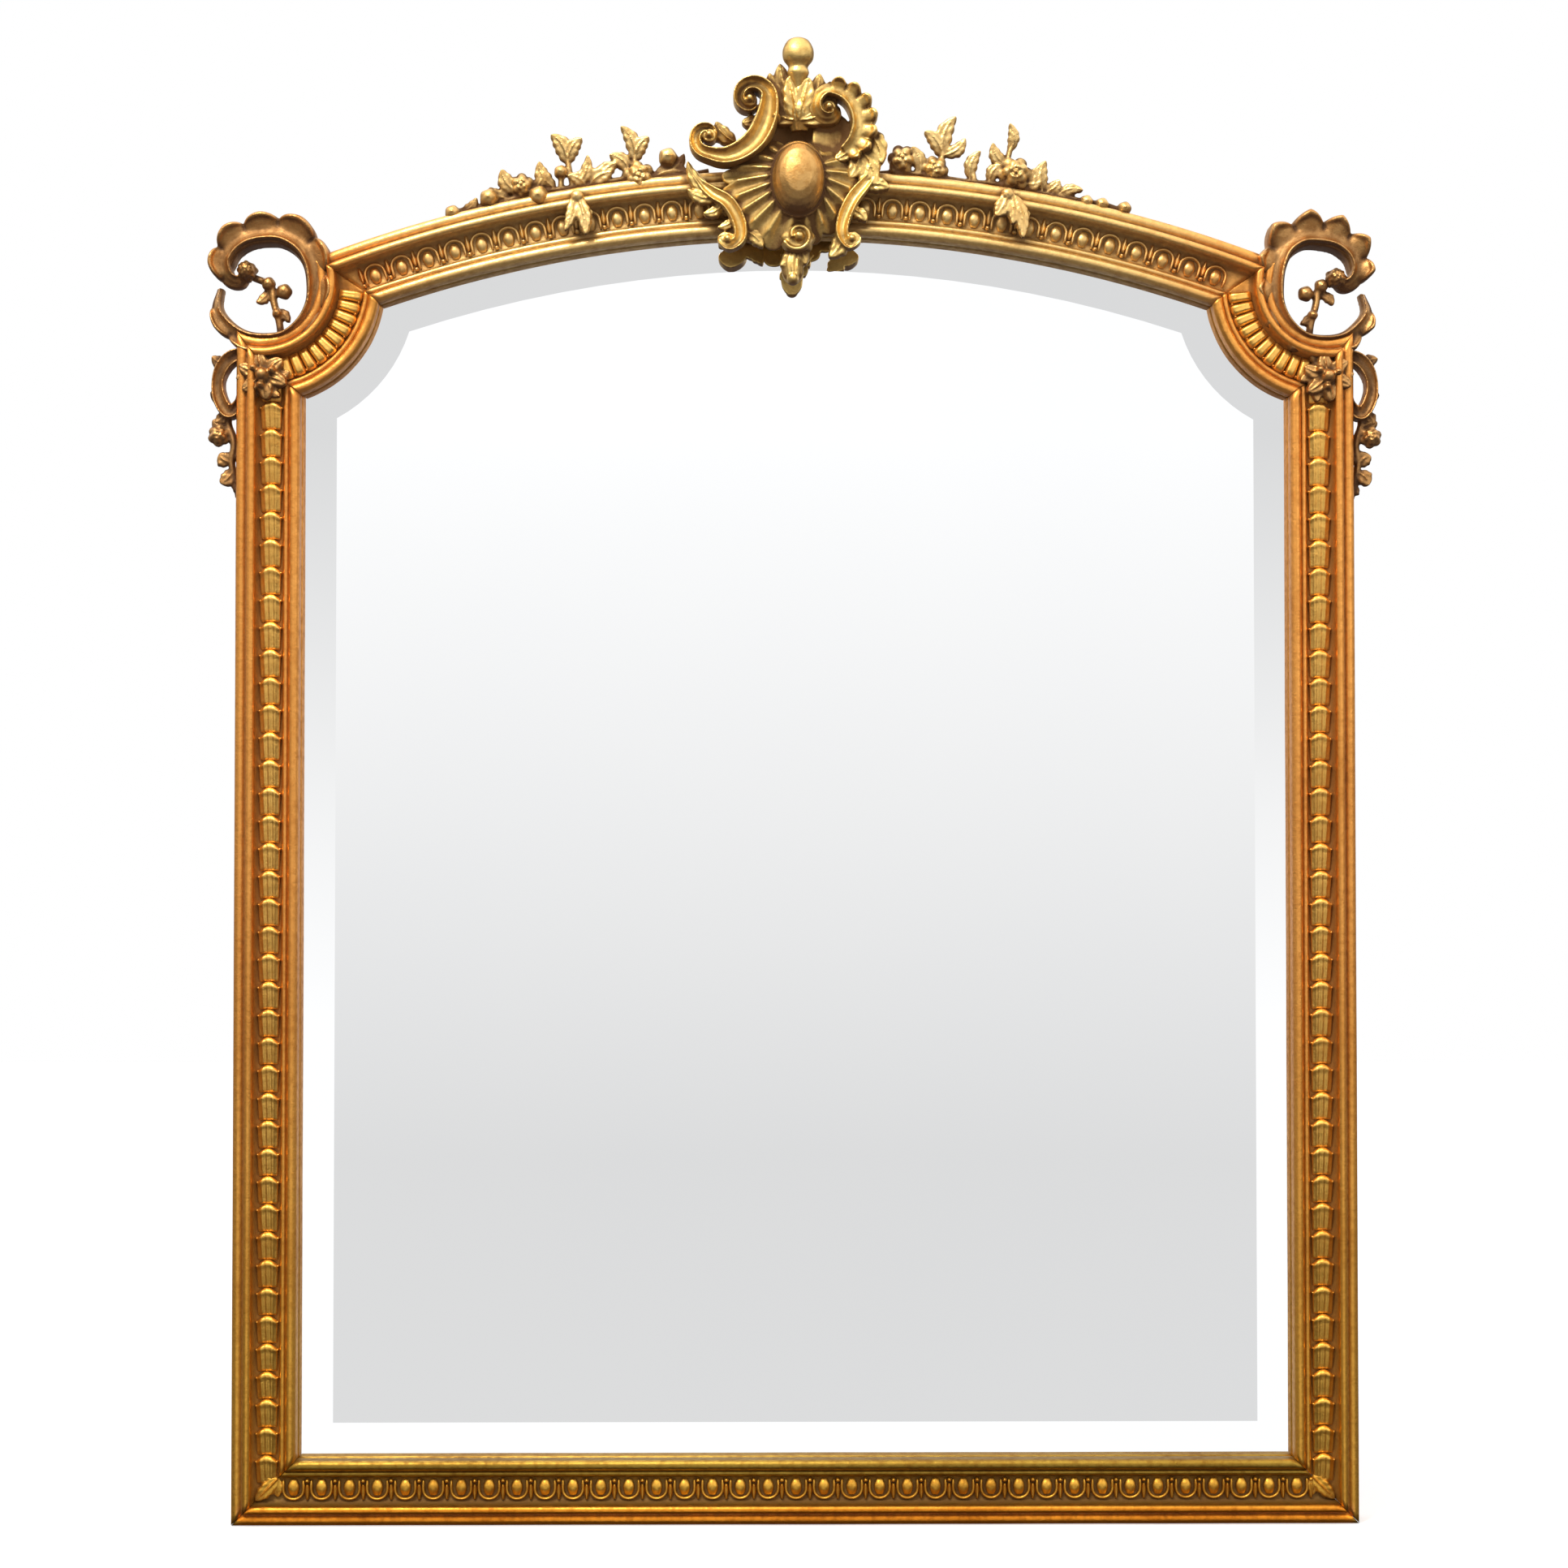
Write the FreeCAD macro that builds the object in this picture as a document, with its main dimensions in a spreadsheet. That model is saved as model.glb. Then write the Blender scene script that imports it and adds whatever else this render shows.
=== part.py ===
"""Trumeau mirror: a gilt arched overmantel mirror with carved crest, garlands and corner volutes.

Millimetres. X runs to the right, Y into the wall, Z up. The origin is the middle of the back of the
bottom rail, at its underside: the wall is the plane Y = 0 and the front faces -Y.
A "depth" in this file is the distance forward of the wall, so it is -Y.
"""
import FreeCAD, Part
import math
import os

import Sketcher
from FreeCAD import Placement, Rotation, Vector

document = FreeCAD.newDocument("trumeau_mirror")
sheet = document.addObject("Spreadsheet::Sheet", "dims")

SIZES = [
    ("frame_half_width", 640, "centre line to the outer edge of a stile"),
    ("moulding_width", 77, "sight edge to outer edge"),
    ("arch_radius", 1453, "sight edge of the top rail"),
    ("arch_apex", 1468, "height of the sight edge at the centre"),
    ("shoulder_radius", 139, "sight edge of the concave corners"),
    ("shoulder_inset", 29, "outer edge of a stile to the centre of the shoulder over it"),
    ("shoulder_drop", 54, "apex of the sight edge to the centre of a shoulder"),
    ("sight_depth", 41, "depth of the sight edge"),
    ("sight_bead", 8, "radius of the round moulding at the sight edge"),
    ("small_bead", 3, "radius of the bead beside the ornament"),
    ("floor_depth", 38, "depth of the flat floor that carries the ornament"),
    ("floor_width", 25, "width of that floor"),
    ("ridge_depth", 55, "depth of the centre of the ridge moulding"),
    ("ridge_bead", 4.5, "radius of the ridge moulding"),
    ("outer_depth", 45, "depth of the centre of the outer moulding"),
    ("outer_bead", 6.5, "radius of the outer moulding"),
    ("rebate_depth", 28, "depth of the face that the glass rests on"),
    ("rebate_width", 8, "how far the rebate reaches behind the sight edge"),
    ("board_seat", 25.5, "depth of the ledge that the backboard rests on"),
    ("board_ledge", 22, "sight edge to the wall of the backboard recess"),
    ("glass_thickness", 5, "mirror plate"),
    ("glass_clearance", 2, "gap round the plate in its rebate"),
    ("bevel_width", 42, "width of the bevel on the plate"),
    ("bevel_drop", 3, "thickness taken off at the edge of the plate"),
    ("plank_count", 5, "planks in the backboard"),
    ("plank_thickness", 12, "backboard"),
    ("board_clearance", 1, "gap round the backboard"),
    ("plank_gap", 0.5, "gap between planks"),
    ("batten_width", 60, "battens across the backboard"),
    ("batten_thickness", 10, "battens across the backboard"),
    ("lower_batten_share", 0.255, "height of the lower batten, of the height of a shoulder"),
    ("upper_batten_share", 0.79, "height of the upper batten, of the height of a shoulder"),
    ("block_length", 40, "glazing blocks"),
    ("unit_pitch", 31.5, "pitch of the cups in the ornament runs"),
    ("unit_height", 11, "how far the ornament stands off its floor"),
    ("gadroon_count", 9, "gadroons on one shoulder"),
    ("hanger_drop", 264, "centre of a shoulder to the hinge of the hanger ring under it"),
    ("hanger_inset", 28, "outer edge of the stile to the middle of the hanger"),
    ("hanger_recess", 8, "depth of the recess for the hanger"),
    ("hanger_plate", 2, "thickness of the hanger plate"),
    ("plate_width", 18, "hanger plate"),
    ("plate_length", 46, "hanger plate"),
    ("ring_wire", 1.5, "radius of the ring's wire"),
    ("ring_width", 22, "width of the ring, wire centre to wire centre"),
    ("ring_clearance", 0.3, "round the wire in its knuckle"),
    ("knuckle_wall", 1, "wall of the knuckle"),
    ("knuckle_length", 9, "length of the knuckle"),
    ("screw_radius", 2, "hanger screws"),
    ("screw_length", 18, "hanger screws"),
    ("support_width", 92, "crest support"),
    ("support_thickness", 26, "crest support"),
    ("support_height", 70, "crest support above the top rail"),
    ("crest_back", 60, "depth of the back of the carved crest"),
    ("crest_drop", 9, "how far the crest's own datum lies below the apex of the sight edge"),
    ("carving_back", 24, "depth of the back of garlands and volutes"),
]

for row, (alias, number, note) in enumerate(SIZES, start=1):
    sheet.set(f"A{row}", note)
    sheet.set(f"B{row}", str(number))
    sheet.setAlias(f"B{row}", alias)
document.recompute()


def value(text):
    """The number that an expression on the sheet's names gives."""
    return float(sheet.evalExpression(text))


def size(alias):
    return value(f"dims.{alias}")


SIGHT_HALF_WIDTH = "(dims.frame_half_width - dims.moulding_width)"
ARCH_CENTRE = "(dims.arch_apex - dims.arch_radius)"
SHOULDER_ACROSS = "(dims.frame_half_width - dims.shoulder_inset)"
SHOULDER_HEIGHT = "(dims.arch_apex - dims.shoulder_drop)"
HANGER_HEIGHT = f"({SHOULDER_HEIGHT} - dims.hanger_drop)"
LOWER_BATTEN = f"({SHOULDER_HEIGHT} * dims.lower_batten_share)"
UPPER_BATTEN = f"({SHOULDER_HEIGHT} * dims.upper_batten_share)"


# ---------------------------------------------------------------- sketches

def plane_of(body, role):
    return [item for item in body.Origin.OriginFeatures if item.Role == role][0]


def new_body(name):
    body = document.addObject("PartDesign::Body", name)
    body.Label = name
    return body


def closed_sketch(body, name, role, points):
    """A closed outline of straight lines. Each point is a pair of expressions."""
    sketch = body.newObject("Sketcher::SketchObject", name)
    sketch.AttachmentSupport = [(plane_of(body, role), "")]
    sketch.MapMode = "FlatFace"
    places = [Vector(value(across), value(up), 0) for across, up in points]
    count = len(places)
    lines = [Part.LineSegment(places[i], places[(i + 1) % count]) for i in range(count)]
    sketch.addGeometry(lines, False)
    joins = [Sketcher.Constraint("Coincident", i, 2, (i + 1) % count, 1) for i in range(count)]
    sketch.addConstraint(joins)
    for i, (across, up) in enumerate(points):
        for kind, text, number in (("DistanceX", across, places[i].x), ("DistanceY", up, places[i].y)):
            index = sketch.addConstraint(Sketcher.Constraint(kind, -1, 1, i, 1, number))
            sketch.setExpression(f"Constraints[{index}]", text)
    return sketch


def bead(offset, depth, radius, start, end, facets):
    """Points of a round moulding, in (offset from the sight edge, depth), start and end in degrees."""
    step = (end - start) / facets
    angles = [start + step * i for i in range(facets + 1)]
    return [(f"{offset} + {radius} * cos({angle})", f"{depth} + {radius} * sin({angle})")
            for angle in angles]


def moulding_profile():
    """The section of every frame member, from the sight edge outwards and back along the wall."""
    small = "(2 * dims.sight_bead + dims.small_bead + 1)"
    floor_in = f"({small} + dims.small_bead + 2)"
    floor_out = f"({floor_in} + dims.floor_width)"
    outer = "(dims.moulding_width - dims.outer_bead)"
    ridge = f"(dims.moulding_width - 2 * dims.outer_bead - dims.ridge_bead - 1)"
    points = [("0", "dims.rebate_depth")]
    points += bead("dims.sight_bead", "dims.sight_depth", "dims.sight_bead", 180, 0, 4)
    points += bead(small, "(dims.floor_depth + 3)", "dims.small_bead", 180, 0, 2)
    points += [(floor_in, "dims.floor_depth"), (floor_out, "dims.floor_depth")]
    points += [(f"{floor_out} + 3", "dims.floor_depth + 6")]
    points += bead(ridge, "dims.ridge_depth", "dims.ridge_bead", 180, 0, 3)
    points += bead(outer, "dims.outer_depth", "dims.outer_bead", 130, 0, 2)
    points += [("dims.moulding_width", "0"), ("dims.board_ledge", "0"),
               ("dims.board_ledge", "dims.board_seat"), ("dims.rebate_width", "dims.board_seat"),
               ("dims.rebate_width", "dims.rebate_depth")]
    return points


def bed_profile():
    """The room the moulding and its ornament take, in steps: carvings are cut to lie on it."""
    ornament = "(dims.sight_depth + dims.sight_bead)"
    ridge = "(dims.ridge_depth + dims.ridge_bead)"
    outer = "(dims.outer_depth + dims.outer_bead)"
    ridge_out = "(dims.moulding_width - 1.6 * dims.outer_bead)"
    ridge_in = "(dims.moulding_width - 2 * dims.outer_bead - 2 * dims.ridge_bead - 2)"
    return [("0", "0"), ("0", ornament), (ridge_in, ornament), (ridge_in, ridge),
            (ridge_out, ridge), (ridge_out, outer), ("dims.moulding_width", outer),
            ("dims.moulding_width", "0")]


PROFILE = moulding_profile()
BED = bed_profile()


def pocket_through(body, name, role, points):
    """Cuts a closed outline right through the body, to both sides of its plane."""
    before = body.Shape.Volume
    sketch = closed_sketch(body, f"{name}_sketch", role, points)
    pocket = body.newObject("PartDesign::Pocket", name)
    pocket.Profile = sketch
    pocket.SideType = "Symmetric"
    pocket.Length = 400
    document.recompute()
    if body.Shape.Volume >= before:
        raise RuntimeError(f"{name} cuts nothing")
    return pocket


# ---------------------------------------------------------------- mitres

def circles_meet(first, first_radius, second, second_radius, side):
    """Where two circles in the X-Z plane cross, on the side away from or towards the centre line."""
    gap = second - first
    distance = gap.Length
    along = (first_radius ** 2 - second_radius ** 2 + distance ** 2) / (2 * distance)
    away = math.sqrt(max(first_radius ** 2 - along ** 2, 0))
    direction = gap.normalize()
    normal = Vector(-direction.z, 0, direction.x)
    return first + direction * along + normal * (away * side)


def stile_mitre(offset):
    """The point of the stile mitre at an offset from the sight edge, on the left side."""
    across = value(SIGHT_HALF_WIDTH) + offset
    reach = size("shoulder_radius") - offset
    drop = math.sqrt(reach ** 2 - (value(SHOULDER_ACROSS) - across) ** 2)
    return Vector(-across, 0, value(SHOULDER_HEIGHT) - drop)


def rail_mitre(offset):
    """The point of the top rail mitre at an offset from the sight edge, on the left side."""
    arch = Vector(0, 0, value(ARCH_CENTRE))
    corner = Vector(-value(SHOULDER_ACROSS), 0, value(SHOULDER_HEIGHT))
    return circles_meet(arch, size("arch_radius") + offset,
                        corner, size("shoulder_radius") - offset, -1)


def mitre_outline(mitre, far_points, side):
    """The region cut away beyond a mitre: its curve, drawn on past both edges, and far points."""
    width = size("moulding_width")
    steps = 3
    curve = [mitre(width * i / steps) for i in range(steps + 1)]
    first = curve[0] + (curve[0] - curve[1]) * 2
    last = curve[-1] + (curve[-1] - curve[-2]) * 0.6
    points = [first] + curve + [last] + far_points
    return [(f"{side * point.x:.6f}", f"{point.z:.6f}") for point in points]


# ---------------------------------------------------------------- frame members

def make_stile(name, side, profile):
    """A straight stile: side is -1 on the left and 1 on the right."""
    body = new_body(name)
    outline = [(f"{side} * ({SIGHT_HALF_WIDTH} + {offset})", f"-({depth})")
               for offset, depth in profile]
    sketch = closed_sketch(body, f"{name}_profile", "XY_Plane", outline)
    pad = body.newObject("PartDesign::Pad", f"{name}_pad")
    pad.Profile = sketch
    pad.setExpression("Length", SHOULDER_HEIGHT)
    document.recompute()
    inner = f"{side} * ({SIGHT_HALF_WIDTH} - 10)"
    outer = f"{side} * (dims.frame_half_width + 10)"
    foot = [(inner, "dims.moulding_width + 10"), (outer, "-10"), (inner, "-10")]
    pocket_through(body, f"{name}_foot_mitre", "XZ_Plane", foot)
    across, up = size("frame_half_width"), value(SHOULDER_HEIGHT)
    far = [Vector(-across - 60, 0, up), Vector(-across + 200, 0, up + 60)]
    pocket_through(body, f"{name}_head_mitre", "XZ_Plane", mitre_outline(stile_mitre, far, -side))
    return body


def hanger_pockets(body, side):
    """The recess in the back of a stile for its hanger, and the holes for the hanger's screws."""
    name = body.Label
    middle = f"{side} * (dims.frame_half_width - dims.hanger_inset)"
    half = "(dims.ring_width / 2 + dims.ring_wire + 1.5)"
    low = f"({HANGER_HEIGHT} - dims.ring_width / 2 - dims.ring_wire - 4)"
    high = f"({HANGER_HEIGHT} + dims.plate_length + 1)"
    outline = [(f"{middle} - {half}", low), (f"{middle} + {half}", low),
               (f"{middle} + {half}", high), (f"{middle} - {half}", high)]
    sketch = closed_sketch(body, f"{name}_hanger_sketch", "XZ_Plane", outline)
    recess = body.newObject("PartDesign::Pocket", f"{name}_hanger_recess")
    recess.Profile = sketch
    recess.SideType = "Symmetric"
    recess.setExpression("Length", "2 * dims.hanger_recess")
    document.recompute()
    holes = body.newObject("Sketcher::SketchObject", f"{name}_screw_sketch")
    holes.AttachmentSupport = [(plane_of(body, "XZ_Plane"), "")]
    holes.MapMode = "FlatFace"
    for index, height in enumerate(screw_heights()):
        centre = Vector(value(middle), value(height), 0)
        circle = holes.addGeometry(Part.Circle(centre, Vector(0, 0, 1), size("screw_radius")), False)
        rules = [("DistanceX", middle, centre.x), ("DistanceY", height, centre.y)]
        for kind, text, number in rules:
            rule = holes.addConstraint(Sketcher.Constraint(kind, -1, 1, circle, 3, number))
            holes.setExpression(f"Constraints[{rule}]", text)
        rule = holes.addConstraint(Sketcher.Constraint("Radius", circle, size("screw_radius")))
        holes.setExpression(f"Constraints[{rule}]", "dims.screw_radius")
    drilled = body.newObject("PartDesign::Pocket", f"{name}_screw_holes")
    drilled.Profile = holes
    drilled.SideType = "Symmetric"
    drilled.setExpression("Length", "2 * (dims.hanger_recess - dims.hanger_plate + dims.screw_length)")
    document.recompute()
    return body


def screw_heights():
    """Heights of the two screws of a hanger, above its hinge."""
    return [f"({HANGER_HEIGHT} + dims.plate_length / 3)",
            f"({HANGER_HEIGHT} + 4 * dims.plate_length / 5)"]


def make_bottom_rail():
    body = new_body("bottom_rail")
    outline = [(f"-({depth})", f"dims.moulding_width - ({offset})") for offset, depth in PROFILE]
    sketch = closed_sketch(body, "bottom_rail_profile", "YZ_Plane", outline)
    pad = body.newObject("PartDesign::Pad", "bottom_rail_pad")
    pad.Profile = sketch
    pad.SideType = "Symmetric"
    pad.setExpression("Length", "2 * dims.frame_half_width")
    document.recompute()
    for side in (-1, 1):
        inner = f"{side} * ({SIGHT_HALF_WIDTH} - 10)"
        outer = f"{side} * (dims.frame_half_width + 10)"
        corner = [(inner, "dims.moulding_width + 10"), (outer, "-10"),
                  (outer, "dims.moulding_width + 10")]
        pocket_through(body, f"bottom_mitre_{'left' if side < 0 else 'right'}", "XZ_Plane", corner)
    return body


def revolved_member(name, profile, centre_across, centre_height, radius, outward, direction, angle):
    """A curved member: a profile turned about an axis along Y through the body's origin.

    outward is 1 where the outer edge lies further from the centre and -1 where it lies nearer, and
    direction is 1 for a profile that starts straight above the centre and -1 for one below it.
    """
    body = new_body(name)
    outline = [(f"-({depth})", f"{direction} * ({radius} + {outward} * ({offset}))")
               for offset, depth in profile]
    sketch = closed_sketch(body, f"{name}_profile", "YZ_Plane", outline)
    turned = body.newObject("PartDesign::Revolution", f"{name}_revolution")
    turned.Profile = sketch
    turned.ReferenceAxis = (plane_of(body, "Y_Axis"), [""])
    turned.Midplane = True
    turned.Angle = angle
    body.setExpression("Placement.Base.x", centre_across)
    body.setExpression("Placement.Base.z", centre_height)
    document.recompute()
    return body


def shifted(points, across, up):
    """The same outline seen from a body whose origin lies at (across, up)."""
    return [(f"{x} - {across:.6f}", f"{z} - {up:.6f}") for x, z in points]


def make_top_rail(name, profile):
    reach = size("frame_half_width")
    angle = 2 * math.degrees(math.asin(reach / size("arch_radius")))
    body = revolved_member(name, profile, "0", ARCH_CENTRE, "dims.arch_radius", 1, 1, angle)
    low = value(SHOULDER_HEIGHT) - 250
    far = [Vector(-reach - 80, 0, size("arch_apex") + 80), Vector(-reach - 80, 0, low),
           Vector(-reach + 170, 0, low)]
    for side in (-1, 1):
        outline = mitre_outline(rail_mitre, far, -side)
        mitre = f"{name}_mitre_{'left' if side < 0 else 'right'}"
        pocket_through(body, mitre, "XZ_Plane", shifted(outline, 0, value(ARCH_CENTRE)))
    return body


def make_shoulder(name, side, profile):
    """A concave corner shoulder, mitred to the stile below it and to the top rail."""
    body = revolved_member(name, profile, f"{side} * {SHOULDER_ACROSS}", SHOULDER_HEIGHT,
                           "dims.shoulder_radius", -1, -1, 220)
    across, up = value(SHOULDER_ACROSS), value(SHOULDER_HEIGHT)
    centre = Vector(-across, 0, up)
    reach = 2 * size("shoulder_radius")
    below = [centre, centre + Vector(-reach, 0, reach), centre + Vector(-reach, 0, -reach)]
    above = [centre, centre + Vector(-reach, 0, reach), centre + Vector(reach, 0, reach)]
    for label, mitre, far in (("lower", stile_mitre, below), ("upper", rail_mitre, above)):
        outline = mitre_outline(mitre, far, -side)
        pocket_through(body, f"{name}_{label}_mitre", "XZ_Plane",
                       shifted(outline, side * across, up))
    return body


NODES = {}


def keep(node, name=None):
    """Notes a finished sub-part under its own name."""
    NODES[name or node.Label] = node
    return node


BEDS = [make_top_rail("top_rail_bed", BED)]
for label, side in (("left", -1), ("right", 1)):
    keep(hanger_pockets(make_stile(f"{label}_stile", side, PROFILE), side))
    keep(make_shoulder(f"{label}_shoulder", side, PROFILE))
    BEDS.append(make_stile(f"{label}_stile_bed", side, BED))
    BEDS.append(make_shoulder(f"{label}_shoulder_bed", side, BED))
keep(make_bottom_rail())
keep(make_top_rail("top_rail", PROFILE))

# ---------------------------------------------------------------- carved forms

RIDGE = [(-1, 0), (0, 1), (1, 0)]
GABLE = [(-1, 0), (-0.8, 0.7), (0, 1), (0.8, 0.7), (1, 0)]
ROUND = [(-1, 0), (-1, 0.45), (-0.45, 1), (0.45, 1), (1, 0.45), (1, 0)]
ROD = [(-1, 0.5), (0, 1), (1, 0.5), (0, 0)]


def point(across, depth, up):
    return Vector(across, -depth, up)


def solid_of(facets):
    """A closed solid from triangles, each a list of three places."""
    shell = Part.makeShell([Part.Face(Part.makePolygon(corners + corners[:1])) for corners in facets])
    shell.sewShape()
    solid = Part.Solid(shell)
    if solid.Volume < 0:
        solid.reverse()
    return solid


def skin(rings):
    """A closed solid of flat facets over rings of points. A ring of one point closes an end."""
    facets = []
    for lower, upper in zip(rings, rings[1:]):
        count = max(len(lower), len(upper))
        for i in range(count):
            j = (i + 1) % count
            if len(lower) > 1:
                facets.append([lower[i], lower[j], upper[j % len(upper)]])
            if len(upper) > 1:
                facets.append([lower[i % len(lower)], upper[j], upper[i]])
    for ring in (rings[0], rings[-1]):
        facets += [[ring[0], ring[i], ring[i + 1]] for i in range(1, len(ring) - 1)]
    return solid_of(facets)


def skin_loop(rings):
    """A closed loop of facets round rings of points."""
    facets = []
    for lower, upper in zip(rings, rings[1:] + rings[:1]):
        for i in range(len(lower)):
            j = (i + 1) % len(lower)
            facets.append([lower[i], lower[j], upper[j]])
            facets.append([lower[i], upper[j], upper[i]])
    return solid_of(facets)


def strand(path, back, halves, rises, section=RIDGE):
    """A carved stem, scroll or leaf along a path of (across, up) points, in front of a flat back.

    halves are its half-widths and rises its heights, one for each point of the path. A half-width
    of 0 ends it in a point. section is its outline, as (across, forward) shares of those two.
    """
    rings = []
    for i, (across, up) in enumerate(path):
        before = path[max(i - 1, 0)]
        after = path[min(i + 1, len(path) - 1)]
        run = Vector(after[0] - before[0], 0, after[1] - before[1]).normalize()
        side = Vector(run.z, 0, -run.x)
        foot = point(across, back[i] if isinstance(back, list) else back, up)
        if halves[i] == 0:
            rings.append([foot])
        else:
            rings.append([foot + side * (halves[i] * a) + Vector(0, -rises[i] * f, 0)
                          for a, f in section])
    return skin(rings)


def leaf(start, end, half, back, rise=7, bend=0.12):
    """A pointed leaf with a raised midrib, a little bent to one side."""
    run = (end[0] - start[0], end[1] - start[1])
    middle = (start[0] + run[0] * 0.45 - run[1] * bend, start[1] + run[1] * 0.45 + run[0] * bend)
    return strand([start, middle, end], back, [half * 0.3, half, 0], [rise * 0.6, rise, 0])


def bloom(across, up, back, radius, height, count=6, petal=1.0, heart=1.0):
    """A bud, berry or rose that faces forward. petal below 1 gives it a scalloped edge."""
    rings = []
    for share, rise in ((0.6, 0), (1, 0.4), (0.62, 0.85)):
        ring = []
        for i in range(count):
            reach = radius * share * (petal if i % 2 else 1)
            angle = 2 * math.pi * i / count
            ring.append(point(across + reach * math.cos(angle), back + height * rise,
                              up + reach * math.sin(angle)))
        rings.append(ring)
    rings.append([point(across, back + height * heart, up)])
    return skin(rings)


def upright(across, depth, levels, count=9):
    """A turned form about an upright axis. levels are (radius, height) pairs, lowest first."""
    rings = []
    for radius, up in levels:
        turns = [2 * math.pi * i / count for i in range(count)]
        ring = [point(across + radius * math.cos(a), depth + radius * math.sin(a), up) for a in turns]
        rings.append(ring if radius else [point(across, depth, up)])
    return skin(rings)


def spiral(centre, radii, angles, steps):
    """Points of a volute: radii and angles (degrees) each go from a first to a last value."""
    places = []
    for i in range(steps + 1):
        share = i / steps
        reach = radii[0] + (radii[1] - radii[0]) * share
        turn = math.radians(angles[0] + (angles[1] - angles[0]) * share)
        places.append((centre[0] + reach * math.cos(turn), centre[1] + reach * math.sin(turn)))
    return places


def swelling(ends, middle, count):
    """Half-widths that swell from the ends of a scroll to its middle."""
    return [ends + (middle - ends) * math.sin(math.pi * i / (count - 1)) for i in range(count)]


def carved(name, solids, beside=(), beds=()):
    """One carved piece: its forms joined, cut to sit beside other pieces and on the moulding."""
    shape = solids[0].multiFuse(solids[1:]) if len(solids) > 1 else solids[0]
    seats = [NODES[label].Shape for label in beside] + [bed.Shape for bed in beds]
    if seats:
        shape = shape.cut(seats)
    large = [solid for solid in shape.Solids if solid.Volume > 60]
    return keep(feature(name, Part.makeCompound(large) if len(large) > 1 else large[0]))


def feature(name, shape):
    node = document.addObject("Part::Feature", name)
    node.Label = name
    node.Shape = shape
    node.Placement = Placement()
    return node


# ---------------------------------------------------------------- ornament runs

FLOOR_IN = value("(2 * dims.sight_bead + 2 * dims.small_bead + 3)")
FLOOR_OUT = FLOOR_IN + size("floor_width")
FLOOR_MIDDLE = (FLOOR_IN + FLOOR_OUT) / 2
UNIT_MARGIN = 0.6


def stile_run(name, side):
    """Overlapping cup leaves up a stile: each opens upwards over the foot of the next."""
    middle = side * (value(SIGHT_HALF_WIDTH) + FLOOR_MIDDLE)
    low = size("moulding_width") + UNIT_MARGIN
    high = stile_mitre(FLOOR_IN).z - UNIT_MARGIN
    count = round((high - low) / size("unit_pitch"))
    pitch = (high - low) / count
    half, rise = size("floor_width") / 2, size("unit_height")
    units = []
    for i in range(count):
        foot = low + pitch * i
        path = [(middle, foot), (middle, foot + pitch * 0.97)]
        units.append(strand(path, size("floor_depth"), [half * 0.55, half * 0.97],
                            [rise * 0.4, rise]))
    return keep(feature(name, Part.makeCompound(units)))


def egg_cups(frames, pitch):
    """Egg cups set across a rail.

    frames are (middle of the floor, outward direction) for each cup.
    """
    half, rise = size("floor_width") / 2, size("unit_height")
    units = []
    for middle, outward in frames:
        path = [middle + outward * (half * reach) for reach in (-0.93, 0, 0.93)]
        units.append(strand([(p.x, p.z) for p in path], size("floor_depth"),
                            [pitch * 0.34, pitch * 0.4, pitch * 0.16],
                            [rise * 0.6, rise, rise * 0.4]))
    return Part.makeCompound(units)


def bottom_run():
    reach = value(SIGHT_HALF_WIDTH) + FLOOR_IN - 2
    count = round(2 * reach / size("unit_pitch"))
    pitch = 2 * reach / count
    height = size("moulding_width") - FLOOR_MIDDLE
    frames = [(Vector(-reach + pitch * (i + 0.5), 0, height), Vector(0, 0, -1))
              for i in range(count)]
    return keep(feature("bottom_rail_cups", egg_cups(frames, pitch)))


def top_run():
    radius = size("arch_radius") + FLOOR_MIDDLE
    centre = Vector(0, 0, value(ARCH_CENTRE))
    limit = -rail_mitre(FLOOR_IN).x - 4
    reach = math.asin(limit / (size("arch_radius") + FLOOR_OUT))
    count = round(2 * reach * radius / size("unit_pitch"))
    step = 2 * reach / count
    frames = []
    for i in range(count):
        turn = -reach + step * (i + 0.5)
        outward = Vector(math.sin(turn), 0, math.cos(turn))
        frames.append((centre + outward * radius, outward))
    return keep(feature("top_rail_cups", egg_cups(frames, step * radius)))


def shoulder_run(name, side):
    """Gadroons that radiate across the hollow of a shoulder."""
    centre = Vector(side * value(SHOULDER_ACROSS), 0, value(SHOULDER_HEIGHT))
    ends = []
    for mitre in (stile_mitre, rail_mitre):
        corner = mitre(FLOOR_IN)
        ends.append(math.degrees(math.atan2(corner.z - centre.z,
                                            corner.x + value(SHOULDER_ACROSS))))
    count = int(size("gadroon_count"))
    start, finish = ends[0] + 3, ends[1] - 3
    step = (finish - start) / count
    rise = size("unit_height")
    near = size("shoulder_radius") - FLOOR_OUT + UNIT_MARGIN
    far = size("shoulder_radius") - FLOOR_IN - UNIT_MARGIN
    units = []
    for i in range(count):
        turn = math.radians(start + step * (i + 0.5))
        ray = (-side * math.cos(turn), math.sin(turn))
        path = [(centre.x + ray[0] * r, centre.z + ray[1] * r) for r in (near, (near + far) / 2, far)]
        widths = [math.radians(step) * r * 0.46 for r in (near, (near + far) / 2, far)]
        units.append(strand(path, size("floor_depth"), widths, [rise * 0.6, rise, rise * 0.55]))
    return keep(feature(name, Part.makeCompound(units)))


# ---------------------------------------------------------------- mirror plate and back

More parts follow.
